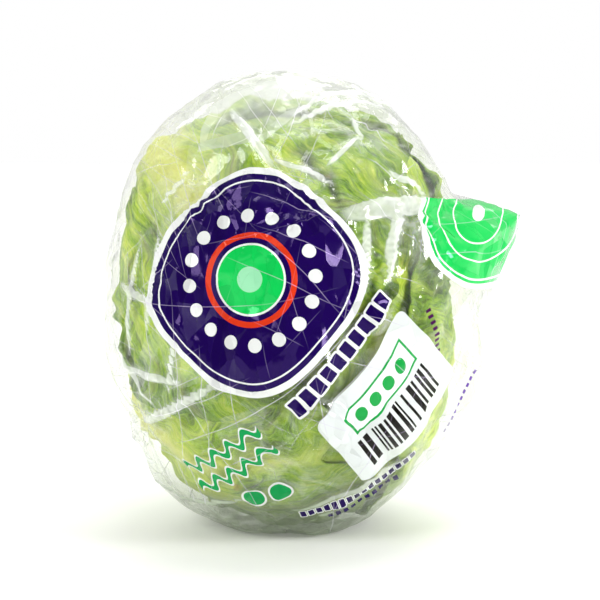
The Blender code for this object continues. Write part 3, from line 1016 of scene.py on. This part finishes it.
def leaf_material():
    """Streaks give the blade its colour, and each layer after them is laid on by its own share."""
    made, tree = new_material("lettuce leaf, fresh and waxy")
    place = node(tree, "TexCoord").outputs["Object"]
    pale, margin, inner, shade = (
        node(tree, "Attribute", attribute_name=name).outputs["Fac"]
        for name in ("pale", "margin", "inner", "shade")
    )
    grain = node(tree, "Attribute", attribute_name="grain").outputs["Vector"]

    blotch = node(tree, "TexNoise", {"Vector": place, "Scale": 1000 / BLOTCH_MM, "Detail": 5.0})
    streak = node(
        tree, "TexNoise", {"Vector": grain, "Scale": 1.0, "Detail": 6.0, "Roughness": 0.80}
    )
    part_blotch = node(tree, "Math", {0: blotch.outputs["Fac"], 1: 0.40}, operation="MULTIPLY")
    tone = node(
        tree, "Math", {0: streak.outputs["Fac"], 1: 0.60, 2: part_blotch},
        operation="MULTIPLY_ADD",
    )
    blade = set_ramp(
        node(tree, "ValToRGB", {"Fac": tone}),
        [(0.39, linear("2A4406")), (0.43, linear("568408")), (0.48, linear("88B60C")),
         (0.54, linear("B4D812")), (0.60, linear("E2F05A"))],
    )
    young = node(tree, "Math", {0: inner, 1: 0.6}, operation="MULTIPLY")
    net = node(
        tree, "TexVoronoi", {"Vector": place, "Scale": 1000 / LEAF_NET_MM},
        feature="DISTANCE_TO_EDGE",
    )
    net_line = node(tree, "MapRange", {0: net.outputs["Distance"], 1: 0.0, 2: 0.10, 3: 0.12, 4: 0.0})
    edged = node(tree, "Math", {0: margin, 1: 0.55}, operation="MULTIPLY")
    # Painted shade: darker towards the bottom, full at the floor and gone 2 cm up, and below torn edges
    height = node(tree, "SeparateXYZ", {0: place}).outputs["Z"]
    under = node(tree, "MapRange", {0: height, 1: 0.001, 2: 0.020, 3: 0.95, 4: 0.0})
    painted_shade_share = node(tree, "Math", {0: shade, 1: 0.95, 2: under}, operation="MULTIPLY_ADD", use_clamp=True)
    spot = node(tree, "TexNoise", {"Vector": place, "Scale": 1000 / SPOT_MM, "Detail": 2.0})
    rusty = node(tree, "MapRange", {0: spot.outputs["Fac"], 1: 0.72, 2: 0.78, 3: 0.0, 4: 0.5})
    colour = blade
    for share, code in (
        (young, "AECC2C"),
        (net_line, "DCE79A"),
        (edged, "4C7016"),
        (pale, "EAF08E"),
        # painted shade, a near-black green
        (painted_shade_share, "1E3606"),
        (rusty, "C79A3A"),
    ):
        mixed = node(tree, "Mix", {0: share, 6: colour, 7: linear(code)}, data_type="RGBA")
        colour = mixed.outputs[2]

    ridged = node(
        tree, "Math", {0: streak.outputs["Fac"], 1: 0.9, 2: net.outputs["Distance"]},
        operation="MULTIPLY_ADD",
    )
    bump = node(tree, "Bump", {"Height": ridged, "Strength": 0.7, "Distance": 0.0010})
    rough = node(tree, "MapRange", {0: blotch.outputs["Fac"], 1: 0.3, 2: 0.7, 3: 0.30, 4: 0.48})
    surface = node(
        tree, "BsdfPrincipled",
        {"Base Color": colour, "Roughness": rough, "Normal": bump,
         "IOR": 1.35, "Subsurface Weight": 0.12, "Subsurface Radius": (0.6, 1.0, 0.25),
         "Subsurface Scale": 0.003},
    )
    node(tree, "OutputMaterial", {"Surface": surface})
    return made


leaf_look = leaf_material()
for piece in lettuce:
    piece.data.materials.append(leaf_look)
print("leaf nodes", len(leaf_look.node_tree.nodes))

# %% [markdown]
# ## Cut stem
#
# The stalk is pale and watery. Where it was cut the milk in it has dried and turned rusty, most
# along the rim and at the ring of bundles, so its colour follows the distance from the middle.


# %% Stem material
# The browning comes in clouds about 4.5 mm across
STEM_CLOUDS_PER_METRE = 220


def stem_material():
    """Rings of brown by the distance from the middle on the cut face, and a pale skin round it."""
    made, tree = new_material("lettuce stalk, cut and browned")
    place = node(tree, "TexCoord").outputs["Object"]
    cut, bundle, radius = (
        node(tree, "Attribute", attribute_name=name).outputs["Fac"]
        for name in ("cut", "bundle", "radius")
    )
    cloud = node(tree, "TexNoise", {"Vector": place, "Scale": STEM_CLOUDS_PER_METRE, "Detail": 5.0})
    shifted = node(
        tree, "Math", {0: cloud.outputs["Fac"], 1: 0.30, 2: radius}, operation="MULTIPLY_ADD"
    )
    rings = set_ramp(
        node(tree, "ValToRGB", {"Fac": shifted}),
        [(0.0, linear("E9DDAE")), (0.45, linear("E4D08E")), (0.75, linear("CFA65A")),
         (0.95, linear("DDBB78")), (1.0, linear("B07A3A"))],
    )
    dotted = node(tree, "Mix", {0: bundle, 6: rings, 7: linear("9E6A33")}, data_type="RGBA")
    skin = set_ramp(
        node(tree, "ValToRGB", {"Fac": cloud.outputs["Fac"]}),
        [(0.3, linear("DDE0A8")), (0.7, linear("EFEECB"))],
    )
    colour = node(tree, "Mix", {0: cut, 6: skin, 7: dotted.outputs[2]}, data_type="RGBA")
    bump = node(
        tree, "Bump", {"Height": cloud.outputs["Fac"], "Strength": 0.5, "Distance": 0.0005}
    )
    surface = node(
        tree, "BsdfPrincipled",
        {"Base Color": colour.outputs[2], "Roughness": 0.5, "Normal": bump, "IOR": 1.4,
         "Subsurface Weight": 0.15, "Subsurface Radius": (1.0, 0.7, 0.4), "Subsurface Scale": 0.003},
    )
    node(tree, "OutputMaterial", {"Surface": surface})
    return made


stump.data.materials.append(stem_material())
print("stem material made")

# %% [markdown]
# ## Printed polythene film
#
# The film is blown polythene, a few hundredths of a millimetre thick: clear, with a hard gloss.
# Seen through, it only lays a thin veil over the leaves. It turns milky where it stands off
# them and where it lies in two layers. Along creases it turns white, partly by its own whitening
# and partly as a painted highlight, and the three widest folds lay painted glare. Near the floor
# the veil is thickened and painted a grey green, which is painted shade. Creases run straight on
# the flat sheet, so they are drawn in the sheet's own coordinates, a few families of thin lines
# that come and go. The material mixes three things: plain see-through, a sharp mirror whose
# share grows at a slant, and a white or inked coat whose share is the veil or the print. The
# mirror's share is the same seen from inside and outside: a few per cent straight on, and
# steeply more at a slant. Glints on ink take some of its colour, as the ink lies under a thin
# rough skin of film. Along crease lines the ink pales to lilac, partly creased ink and partly a
# painted glint.

# %% Film material: facets
FACET_MM = (17.0, 4.6)
FACET_SLOPE = (0.22, 0.40)
FACET_STRETCH = (1.0, 0.33)


def facet_bump(tree, place):
    """Flat facets too small for the mesh: in each Voronoi cell the height is its own random slope."""
    crinkle = node(tree, "Attribute", attribute_name="crinkle").outputs["Fac"]
    normal = None
    for size, slope, stretch, strength in zip(FACET_MM, FACET_SLOPE, FACET_STRETCH, (1.0, crinkle)):
        turned = node(
            tree, "Mapping",
            {"Vector": place, "Rotation": (0.3, 0.7, 0.0), "Scale": (1.0, 1.0, stretch)},
        )
        cell = node(tree, "TexVoronoi", {"Vector": turned, "Scale": 1000 / size})
        from_middle = node(
            tree, "VectorMath", {0: turned, 1: cell.outputs["Position"]}, operation="SUBTRACT"
        )
        lean = node(
            tree, "VectorMath", {0: cell.outputs["Color"], 1: (0.5, 0.5, 0.5)}, operation="SUBTRACT"
        )
        height = node(tree, "VectorMath", {0: from_middle, 1: lean}, operation="DOT_PRODUCT")
        bump_inputs = {"Height": height.outputs["Value"], "Strength": strength, "Distance": slope * 2}
        if normal is not None:
            bump_inputs["Normal"] = normal
        normal = node(tree, "Bump", bump_inputs)
    return normal


print("facets", FACET_MM, "mm across")

# %% Film material: straight creases
# Each family on the flat sheet: the way across it in degrees, and its spacing in mm
CREASE_FAMILIES = ((12, 9.0), (47, 13.0), (71, 8.0), (104, 15.0), (139, 10.0), (163, 12.0))
CREASE_LINE_MM = 0.15
CREASE_PART_MM = 26
CREASE_BEND = 0.004


def crease_lines(tree):
    """Thin straight lines on the flat sheet, at random distances, each seen only in parts."""
    sheet = node(tree, "Attribute", attribute_name="sheet").outputs["Vector"]
    lines = None
    for k, (degrees, spacing) in enumerate(CREASE_FAMILIES):
        way = (math.cos(math.radians(degrees)), math.sin(math.radians(degrees)), 0.0)
        off = node(tree, "VectorMath", {0: sheet, 1: way}, operation="DOT_PRODUCT").outputs["Value"]
        moved = node(tree, "VectorMath", {0: sheet, 1: (0.3 * k, 0.0, 0.1)}, operation="ADD")
        where = node(
            tree, "TexNoise", {"Vector": moved, "Scale": 1000 / CREASE_PART_MM, "Detail": 1.0}
        ).outputs["Fac"]
        bent = node(tree, "Math", {0: where, 1: CREASE_BEND, 2: off}, operation="MULTIPLY_ADD")
        line = node(
            tree, "TexVoronoi", {"W": bent, "Scale": 1000 / spacing}, voronoi_dimensions="1D"
        )
        half_line = CREASE_LINE_MM / spacing
        on_line = node(
            tree, "MapRange",
            {0: line.outputs["Distance"], 1: half_line * 0.3, 2: half_line, 3: 1.0, 4: 0.0},
        )
        shows = node(tree, "MapRange", {0: where, 1: 0.50, 2: 0.64, 3: 0.0, 4: 1.0})
        part = node(tree, "Math", {0: on_line, 1: shows}, operation="MULTIPLY")
        if lines is None:
            lines = part
        else:
            lines = node(tree, "Math", {0: lines, 1: part}, operation="MAXIMUM")
    return lines


print("families of creases", len(CREASE_FAMILIES))

# %% Film material: the veil
# Milky patches: their size in mm, the random value from which one shows, and its share
PATCHES = ((36.0, 0.70, 0.24), (15.0, 0.76, 0.12))


def painted_floor_shade(tree, place):
    """1 where the film rests, 0 a few centimetres up: painted shade, a grey green as under the head."""
    height = node(tree, "SeparateXYZ", {0: place}).outputs["Z"]
    return node(
        tree, "MapRange", {0: height, 1: 0.002, 2: 0.036, 3: 1.0, 4: 0.0},
        interpolation_type="SMOOTHSTEP",
    )


def veil_share(tree, place, low, lines):
    """How much the film hides: more off the leaves, in folds, and near the floor as painted shade."""
    gap_mm, creased, folded_and_glare = (
        node(tree, "Attribute", attribute_name=name).outputs["Fac"]
        for name in ("gap", "crease", "doubled")
    )
    total = node(
        tree, "MapRange", {0: gap_mm, 1: 2.0, 2: 12.0, 3: 0.0, 4: 0.22},
        interpolation_type="SMOOTHSTEP",
    )
    # A fold's edge is sharper than the mesh, so its share is cut off part of the way up
    crisp = node(tree, "MapRange", {0: folded_and_glare, 1: 0.26, 2: 0.52, 3: 0.0, 4: 0.50})
    # Creases, folds and glare whiten the veil, partly as painted highlight; near the floor it is
    # painted shade
    parts = [(creased, 0.22), (crisp, 1.0), (low, 0.30)]
    height = node(tree, "SeparateXYZ", {0: place}).outputs["Z"]
    off_floor = node(tree, "MapRange", {0: height, 1: 0.025, 2: 0.050, 3: 0.0, 4: 1.0})
    for size, at_least, share in PATCHES:
        cell = node(tree, "TexVoronoi", {"Vector": place, "Scale": 1000 / size})
        lit = node(
            tree, "MapRange",
            {0: cell.outputs["Color"], 1: at_least, 2: at_least + 0.01, 3: 0.0, 4: share},
        )
        parts.append((lit, off_floor))
    # White along crease lines: partly the film's own whitening, partly a painted highlight
    parts.append((lines, 0.55))
    for extra, weight in parts:
        total = node(
            tree, "Math", {0: extra, 1: weight, 2: total}, operation="MULTIPLY_ADD", use_clamp=True
        )
    return total


print("sizes of milky patches", [size for size, _, _ in PATCHES], "mm")

# %% [markdown]
# ## The inks on the film
#
# The real print is a thin layer of ink in flat colours with clean edges. A picture could be laid
# on for it, but shapes that are worked out from distances stay sharp however close the camera
# comes. Each ink is laid over those before it, and the film stays clear where there is none.

# %% Inks
PURPLE, GREEN, WHITE_INK = linear("1A0350"), linear("10CB55"), linear("EEF1EE")
RED, PALE_GREEN, BLACK = linear("E03A1C"), linear("9BE6B4"), linear("100D0B")
WAVE_GREEN, FRAME_GREEN, PANEL_WHITE = linear("0CA050"), linear("18A044"), linear("EEF4F4")
NONE = (0.0, 0.0, 0.0, 0.0)
PRINT_COVER, PANEL_COVER = 0.985, 0.86
print("purple is", [round(c, 3) for c in PURPLE])


# %% Shapes by distance, and inks laid over one another
def inside_box(tree, place, middle, half, corner):
    """Metres outside a box with round corners, below 0 inside: length(max(|p - middle| - half, 0))."""
    moved = node(tree, "VectorMath", {0: place, 1: (*middle, 0.0)}, operation="SUBTRACT")
    size = node(tree, "VectorMath", {0: moved}, operation="ABSOLUTE")
    past = node(
        tree, "VectorMath",
        {0: size, 1: (half[0] - corner, half[1] - corner, 1.0)}, operation="SUBTRACT",
    )
    kept = node(tree, "VectorMath", {0: past, 1: (0.0, 0.0, 0.0)}, operation="MAXIMUM")
    far = node(tree, "VectorMath", {0: kept}, operation="LENGTH")
    return node(tree, "Math", {0: far.outputs["Value"], 1: corner}, operation="SUBTRACT")


def lay_ink(tree, under, share, colour):
    """One ink over what is printed already: its colour where share is 1, and more cover there."""
    mixed = node(tree, "Mix", {0: share, 6: under[0], 7: colour}, data_type="RGBA")
    cover = node(tree, "Math", {0: under[1], 1: share}, operation="MAXIMUM")
    return mixed.outputs[2], cover


def ramp_ink(tree, under, distance, reach, stops, shows):
    """Rings of ink by distance in metres: each stop holds from its own distance outwards."""
    scaled = node(tree, "Math", {0: distance, 1: 1 / reach}, operation="MULTIPLY")
    rings = node(tree, "ValToRGB", {"Fac": scaled})
    set_ramp(rings, [(place / reach, colour) for place, colour in stops], "CONSTANT")
    share = node(tree, "Math", {0: rings.outputs["Alpha"], 1: shows}, operation="MULTIPLY")
    return lay_ink(tree, under, share, rings.outputs["Color"])


def print_place(tree, name):
    """A print's coordinates: right and up in a vector with no depth, and 1 where it may show."""
    raw = node(tree, "Attribute", attribute_name=name).outputs["Vector"]
    split = node(tree, "SeparateXYZ", {0: raw})
    flat = node(tree, "CombineXYZ", {0: split.outputs[0], 1: split.outputs[1], 2: 0.0})
    shows = node(tree, "Math", {0: split.outputs[2], 1: 0.0}, operation="GREATER_THAN")
    return flat, split.outputs[0], split.outputs[1], shows


print("prints", [*PRINTS, "roundel"])

# %% Rows of dashes
# Each row: half its length, its pitch, a dash's half size, its corner and its outline, the ink,
# and how high the row lies over the print's middle
DASH_ROWS = (
    ("spots", 0.0110, 0.0110, (0.0040, 0.0034), 0.0032, 0.0008, WAVE_GREEN, 0.0),
    ("rule", 0.0275, 0.0055, (0.0020, 0.0030), 0.0004, 0.0009, PURPLE, 0.0),
    ("foot", 0.0240, 0.0030, (0.0010, 0.0016), 0.0002, 0.0004, PURPLE, 0.0),
    ("foot", 0.0150, 0.0030, (0.0009, 0.0012), 0.0002, 0.0, PURPLE, -0.0048),
    ("code", 0.0144, 0.0024, (0.0006, 0.0012), 0.0002, 0.0, linear("4A1450"), 0.0),
    ("side", 0.0135, 0.0027, (0.0008, 0.0013), 0.0002, 0.0, linear("5A2C96"), 0.0),
)


def dash_ink(tree, under, name, half_length, pitch, dash_half, corner, outline, ink, level):
    """A row of plain dashes, each with an outline in white."""
    _, right, up, shows = print_place(tree, name)
    step = node(tree, "Math", {0: right, 1: pitch, 2: 0.0}, operation="WRAP")
    spot = node(tree, "CombineXYZ", {0: step, 1: up, 2: 0.0})
    away = inside_box(tree, spot, (pitch / 2, level), dash_half, corner)
    along = node(tree, "Math", {0: right}, operation="ABSOLUTE")
    within = node(tree, "Math", {0: along, 1: half_length}, operation="LESS_THAN")
    allowed = node(tree, "Math", {0: within, 1: shows}, operation="MULTIPLY")
    for margin, colour in ((outline, WHITE_INK), (0.0, ink)):
        near = node(tree, "Math", {0: away, 1: margin}, operation="LESS_THAN")
        share = node(tree, "Math", {0: near, 1: allowed}, operation="MULTIPLY")
        under = lay_ink(tree, under, share, colour)
    return under


print("rows of dashes", len(DASH_ROWS))

# %% Two wavy lines
WAVE_LENGTH, WAVE_SWING, WAVE_SPACING, WAVE_HALF_ROW = 0.0082, 0.0021, 0.0092, 0.0200
WAVE_INKS = ((0.0, WAVE_GREEN), (0.00125, WHITE_INK), (0.00205, NONE))


def wave_ink(tree, under):
    """Two wavy green lines with white edges."""
    _, right, up, shows = print_place(tree, "waves")
    swing = node(tree, "Math", {0: right, 1: 2 * math.pi / WAVE_LENGTH}, operation="MULTIPLY")
    sine = node(tree, "Math", {0: swing}, operation="SINE")
    bent = node(tree, "Math", {0: sine, 1: WAVE_SWING, 2: up}, operation="MULTIPLY_ADD")
    half = WAVE_SPACING / 2
    shifted = node(tree, "Math", {0: bent, 1: half}, operation="ADD")
    step = node(tree, "Math", {0: shifted, 1: half, 2: -half}, operation="WRAP")
    away = node(tree, "Math", {0: step}, operation="ABSOLUTE")
    along = node(tree, "Math", {0: right}, operation="ABSOLUTE")
    level = node(tree, "Math", {0: up}, operation="ABSOLUTE")
    near = node(tree, "Math", {0: along, 1: WAVE_HALF_ROW}, operation="LESS_THAN")
    low = node(tree, "Math", {0: level, 1: WAVE_SPACING}, operation="LESS_THAN")
    both = node(tree, "Math", {0: near, 1: low}, operation="MULTIPLY")
    allowed = node(tree, "Math", {0: both, 1: shows}, operation="MULTIPLY")
    return ramp_ink(tree, under, away, 0.006, WAVE_INKS, allowed)


print("waves", WAVE_LENGTH * 1000, "mm long")

# %% The panel and its stripes
PANEL_SPOTS = ("panel", 0.0150, 0.0075, (0.0025, 0.0028), 0.0024, 0.0, FRAME_GREEN, 0.0074)
PANEL_MIDDLE, PANEL_HALF, PANEL_CORNER = (0.0, -0.0004), (0.0264, 0.0198), 0.0036
FRAME_MIDDLE, FRAME_OUTER, FRAME_INNER = (0.0004, 0.0074), (0.0180, 0.0060), (0.0171, 0.0051)
STRIPES_MIDDLE, STRIPES_HALF = (0.0, -0.0078), (0.0192, 0.0070)
STRIPE_COUNT, STRIPE_WIDTHS, STRIPE_SEED = 30, (0.5, 0.8, 1.1, 1.6), 12


def panel_ink(tree, under):
    """A white panel with round corners: a green frame that holds four spots, and stripes below it.

    A stripe's width is drawn from four widths, and stripes and gaps take turns from the left.
    """
    flat, right, _, shows = print_place(tree, "panel")
    plate = inside_box(tree, flat, PANEL_MIDDLE, PANEL_HALF, PANEL_CORNER)
    on_plate = node(tree, "Math", {0: plate, 1: 0.0}, operation="LESS_THAN")
    share = node(tree, "Math", {0: on_plate, 1: shows}, operation="MULTIPLY")
    veil = node(tree, "Math", {0: share, 1: PANEL_COVER}, operation="MULTIPLY")
    under = lay_ink(tree, under, veil, PANEL_WHITE)
    for half, colour in ((FRAME_OUTER, FRAME_GREEN), (FRAME_INNER, PANEL_WHITE)):
        box = inside_box(tree, flat, FRAME_MIDDLE, half, 0.0003)
        inside = node(tree, "Math", {0: box, 1: -0.0002}, operation="LESS_THAN")
        framed = node(tree, "Math", {0: inside, 1: shows}, operation="MULTIPLY")
        under = lay_ink(tree, under, framed, colour)
    under = dash_ink(tree, under, *PANEL_SPOTS)

    reach = 2 * STRIPES_HALF[0]
    edges = np.cumsum(np.random.default_rng(STRIPE_SEED).choice(STRIPE_WIDTHS, STRIPE_COUNT))
    edges = edges / edges[-1]
    stops = [(0.0, BLACK)]
    stops += [(float(e) * reach, NONE if k % 2 == 0 else BLACK) for k, e in enumerate(edges[:-1])]
    box = inside_box(tree, flat, STRIPES_MIDDLE, STRIPES_HALF, 0.0001)
    on_stripes = node(tree, "Math", {0: box, 1: 0.0}, operation="LESS_THAN")
    from_left = node(tree, "Math", {0: right, 1: STRIPES_HALF[0]}, operation="ADD")
    stripes_show = node(tree, "Math", {0: on_stripes, 1: shows}, operation="MULTIPLY")
    return ramp_ink(tree, under, from_left, reach, stops, stripes_show)


print("stripes", STRIPE_COUNT // 2)

# %% The badge, and the spot on the loose corner
# Rings of ink, each from its own distance outwards. The badge's edge is in shares of its half size
BADGE_EDGE = ((0.0, PURPLE), (0.925, WHITE_INK), (0.942, PURPLE), (1.0, WHITE_INK), (1.055, NONE))
BADGE_RINGS = ((0.0, PALE_GREEN), (0.0045, GREEN), (0.0125, WHITE_INK), (0.0131, NONE),
               (0.0152, RED), (0.0172, NONE))
DOTS, DOT_RING, DOT_RADIUS = 16, 0.0236, 0.0025
ROUNDEL_RINGS = ((0.0, WHITE_INK), (0.0030, GREEN), (0.0112, WHITE_INK), (0.0118, GREEN),
                 (0.0180, WHITE_INK), (0.0186, GREEN), (0.0248, WHITE_INK), (0.0256, GREEN),
                 (0.0266, WHITE_INK), (0.0286, NONE))


def badge_ink(tree, under):
    """A purple badge, square with bowed sides, that holds a green spot, a red ring and white dots."""
    flat, right, up, shows = print_place(tree, "badge")
    powers = []
    for value, half in ((right, BADGE_HALF[0]), (up, BADGE_HALF[1])):
        share = node(tree, "Math", {0: value, 1: 1 / half}, operation="MULTIPLY")
        size = node(tree, "Math", {0: share}, operation="ABSOLUTE")
        powers.append(node(tree, "Math", {0: size, 1: BADGE_SQUARENESS}, operation="POWER"))
    total = node(tree, "Math", {0: powers[0], 1: powers[1]}, operation="ADD")
    form = node(tree, "Math", {0: total, 1: 1 / BADGE_SQUARENESS}, operation="POWER")
    under = ramp_ink(tree, under, form, 2.0, BADGE_EDGE, shows)
    far = node(tree, "VectorMath", {0: flat}, operation="LENGTH").outputs["Value"]
    under = ramp_ink(tree, under, far, 0.05, BADGE_RINGS, shows)
    angle = node(tree, "Math", {0: up, 1: right}, operation="ARCTAN2")
    turns = node(tree, "Math", {0: angle, 1: DOTS / (2 * math.pi)}, operation="MULTIPLY")
    near = node(tree, "Math", {0: turns, 1: 0.5, 2: -0.5}, operation="WRAP")
    dot_pitch = DOT_RING * 2 * math.pi / DOTS
    sideways = node(tree, "Math", {0: near, 1: dot_pitch}, operation="MULTIPLY")
    outwards = node(tree, "Math", {0: far, 1: DOT_RING}, operation="SUBTRACT")
    dot_place = node(tree, "CombineXYZ", {0: sideways, 1: outwards, 2: 0.0})
    dot_far = node(tree, "VectorMath", {0: dot_place}, operation="LENGTH").outputs["Value"]
    return ramp_ink(tree, under, dot_far, 0.02, [(0.0, WHITE_INK), (DOT_RADIUS, NONE)], shows)


def roundel_ink(tree, under):
    """A green spot on the loose corner: a white rim, a thin white line inside it and rings."""
    flat, _, _, shows = print_place(tree, "roundel")
    far = node(tree, "VectorMath", {0: flat}, operation="LENGTH").outputs["Value"]
    return ramp_ink(tree, under, far, 0.04, ROUNDEL_RINGS, shows)


print("dots on the badge", DOTS)

# %% Film material: put together
# The mirror's share: how steeply it grows at a slant, by how much, and what it is straight on
MIRROR_POWER, MIRROR_SLANT, MIRROR_STRAIGHT = 3.8, 0.60, 0.035


def film_material():
    """See-through, a mirror that grows at a slant, and a coat whose share is the veil or the ink."""
    made, tree = new_material("blown polythene film, clear and printed")
    place = node(tree, "TexCoord").outputs["Object"]
    normal = facet_bump(tree, place)
    low, lines = painted_floor_shade(tree, place), crease_lines(tree)
    veil = veil_share(tree, place, low, lines)

    # The veil is white, painted a shaded grey green near the floor
    veil_with_painted_shade = node(
        tree, "Mix", {0: low, 6: linear("F2F7F0"), 7: linear("93A480")}, data_type="RGBA"
    )
    ink = wave_ink(tree, (veil_with_painted_shade.outputs[2], 0.0))
    for row in DASH_ROWS:
        ink = dash_ink(tree, ink, *row)
    for printed in (panel_ink, badge_ink, roundel_ink):
        ink = printed(tree, ink)
    inked = node(tree, "Math", {0: ink[1], 1: PRINT_COVER}, operation="MULTIPLY")
    cover = node(tree, "Math", {0: inked, 1: veil}, operation="MAXIMUM")

    # Crease lines pale the ink to lilac: partly creased ink, partly a painted glint
    lit_lines = node(tree, "Math", {0: lines, 1: 0.40}, operation="MULTIPLY")
    creased_ink_with_painted_glints = node(
        tree, "Mix", {0: lit_lines, 6: ink[0], 7: linear("D8C8EC")}, data_type="RGBA"
    )
    paler = node(tree, "Gamma", {"Color": ink[0], "Gamma": 0.33})
    tint = node(tree, "Mix", {0: 0.12, 6: paler, 7: (1.0, 1.0, 1.0, 1.0)}, data_type="RGBA")
    coat = node(
        tree, "BsdfPrincipled",
        {"Base Color": creased_ink_with_painted_glints.outputs[2], "Roughness": 0.10, "Normal": normal, "IOR": 1.5,
         "Specular Tint": tint.outputs[2]},
    )
    through = node(tree, "BsdfTransparent", {"Color": (0.958, 0.966, 0.945, 1.0)})
    gloss = node(tree, "BsdfGlossy", {"Color": (1, 1, 1, 1), "Roughness": 0.08, "Normal": normal})
    slant = node(tree, "LayerWeight", {"Blend": 0.5, "Normal": normal}).outputs["Facing"]
    steep = node(tree, "Math", {0: slant, 1: MIRROR_POWER}, operation="POWER")
    mirror = node(
        tree, "Math", {0: steep, 1: MIRROR_SLANT, 2: MIRROR_STRAIGHT}, operation="MULTIPLY_ADD"
    )
    clear = node(tree, "MixShader", {0: mirror, 1: through, 2: gloss})
    surface = node(tree, "MixShader", {0: cover, 1: clear, 2: coat})
    node(tree, "OutputMaterial", {"Surface": surface})
    return made


film.data.materials.append(film_material())
print("film nodes", len(film.data.materials[0].node_tree.nodes))

# %% [markdown]
# ## The stage
#
# A white board on a white ground, lit by four softboxes. The film only shows by what it mirrors,
# so the surround is bright behind and dim on the camera's side, and the softboxes give the film
# its glints. The board glows faintly, as a product table that is lit from below does, and
# behind it the camera sees plain white.


# %% Floor, surround and softboxes
BOARD_GRAIN_MM = 25
# Each softbox: its name, its place in metres, its power in watts and its width in metres
SOFTBOXES = (
    ("key softbox", (-0.80, -0.85, 0.80), 9.5, 0.55),
    ("side softbox", (1.05, -0.40, 0.50), 9.5, 0.36),
    ("top softbox", (0.15, 0.30, 1.20), 6.0, 0.70),
    ("back softbox", (0.00, 1.30, 1.00), 4.5, 1.00),
)


def stage():
    """A board two metres wide, a surround that is dim on the camera's side, and four softboxes."""
    floor_mesh = bpy.data.meshes.new("floor")
    floor_mesh.from_pydata([(-1, -1, 0), (1, -1, 0), (1, 1, 0), (-1, 1, 0)], [], [(0, 1, 2, 3)])
    floor = bpy.data.objects.new("floor", floor_mesh)
    bpy.context.scene.collection.objects.link(floor)
    paint, tree = new_material("matte white board")
    grain = node(tree, "TexNoise", {"Scale": 1000 / BOARD_GRAIN_MM, "Detail": 2.0})
    tone = set_ramp(
        node(tree, "ValToRGB", {"Fac": grain.outputs["Fac"]}),
        [(0.3, linear("F6F6F4")), (0.7, linear("FAFAF9"))],
    )
    board = node(
        tree, "BsdfPrincipled",
        {"Base Color": tone, "Roughness": 0.7, "Emission Color": (1, 1, 1, 1),
         "Emission Strength": 0.08},
    )
    node(tree, "OutputMaterial", {"Surface": board})
    floor_mesh.materials.append(paint)

    world = bpy.data.worlds.new("white surround")
    world.use_nodes = True
    sky = world.node_tree
    sky.nodes.clear()
    way = node(sky, "TexCoord").outputs["Generated"]
    split = node(sky, "SeparateXYZ", {0: way})
    ahead = node(sky, "MapRange", {0: split.outputs[1], 1: -0.4, 2: 0.35, 3: 0.16, 4: 0.80})
    light = node(sky, "Background", {"Color": (1, 1, 1, 1), "Strength": ahead})
    backdrop = node(sky, "Background", {"Color": (1, 1, 1, 1), "Strength": 1.0})
    seen = node(sky, "LightPath").outputs["Is Camera Ray"]
    both = node(sky, "MixShader", {0: seen, 1: light, 2: backdrop})
    node(sky, "OutputWorld", {"Surface": both})
    bpy.context.scene.world = world

    for name, place, watts, size in SOFTBOXES:
        data = bpy.data.lights.new(name, "AREA")
        data.energy = watts
        data.size = size
        lamp = bpy.data.objects.new(name, data)
        lamp.location = place
        lamp.rotation_euler = (Vector((0, 0, 0.08)) - Vector(place)).to_track_quat("-Z", "Y").to_euler()
        bpy.context.scene.collection.objects.link(lamp)
    bpy.context.scene.view_settings.view_transform = "Standard"


stage()
print("stage set")

# %% [markdown]
# ## Riding on the body
#
# Each piece rides on the model's one body and stands for the solid that it dresses, which is
# hidden. The film is gathered over the head.

# %% Ride and replace
for piece in lettuce:
    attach(piece, "root")
    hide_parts("lettuce_head")
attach(stump, "root")
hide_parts("cut_stem")
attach(film, "root")
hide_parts("film_wrap")
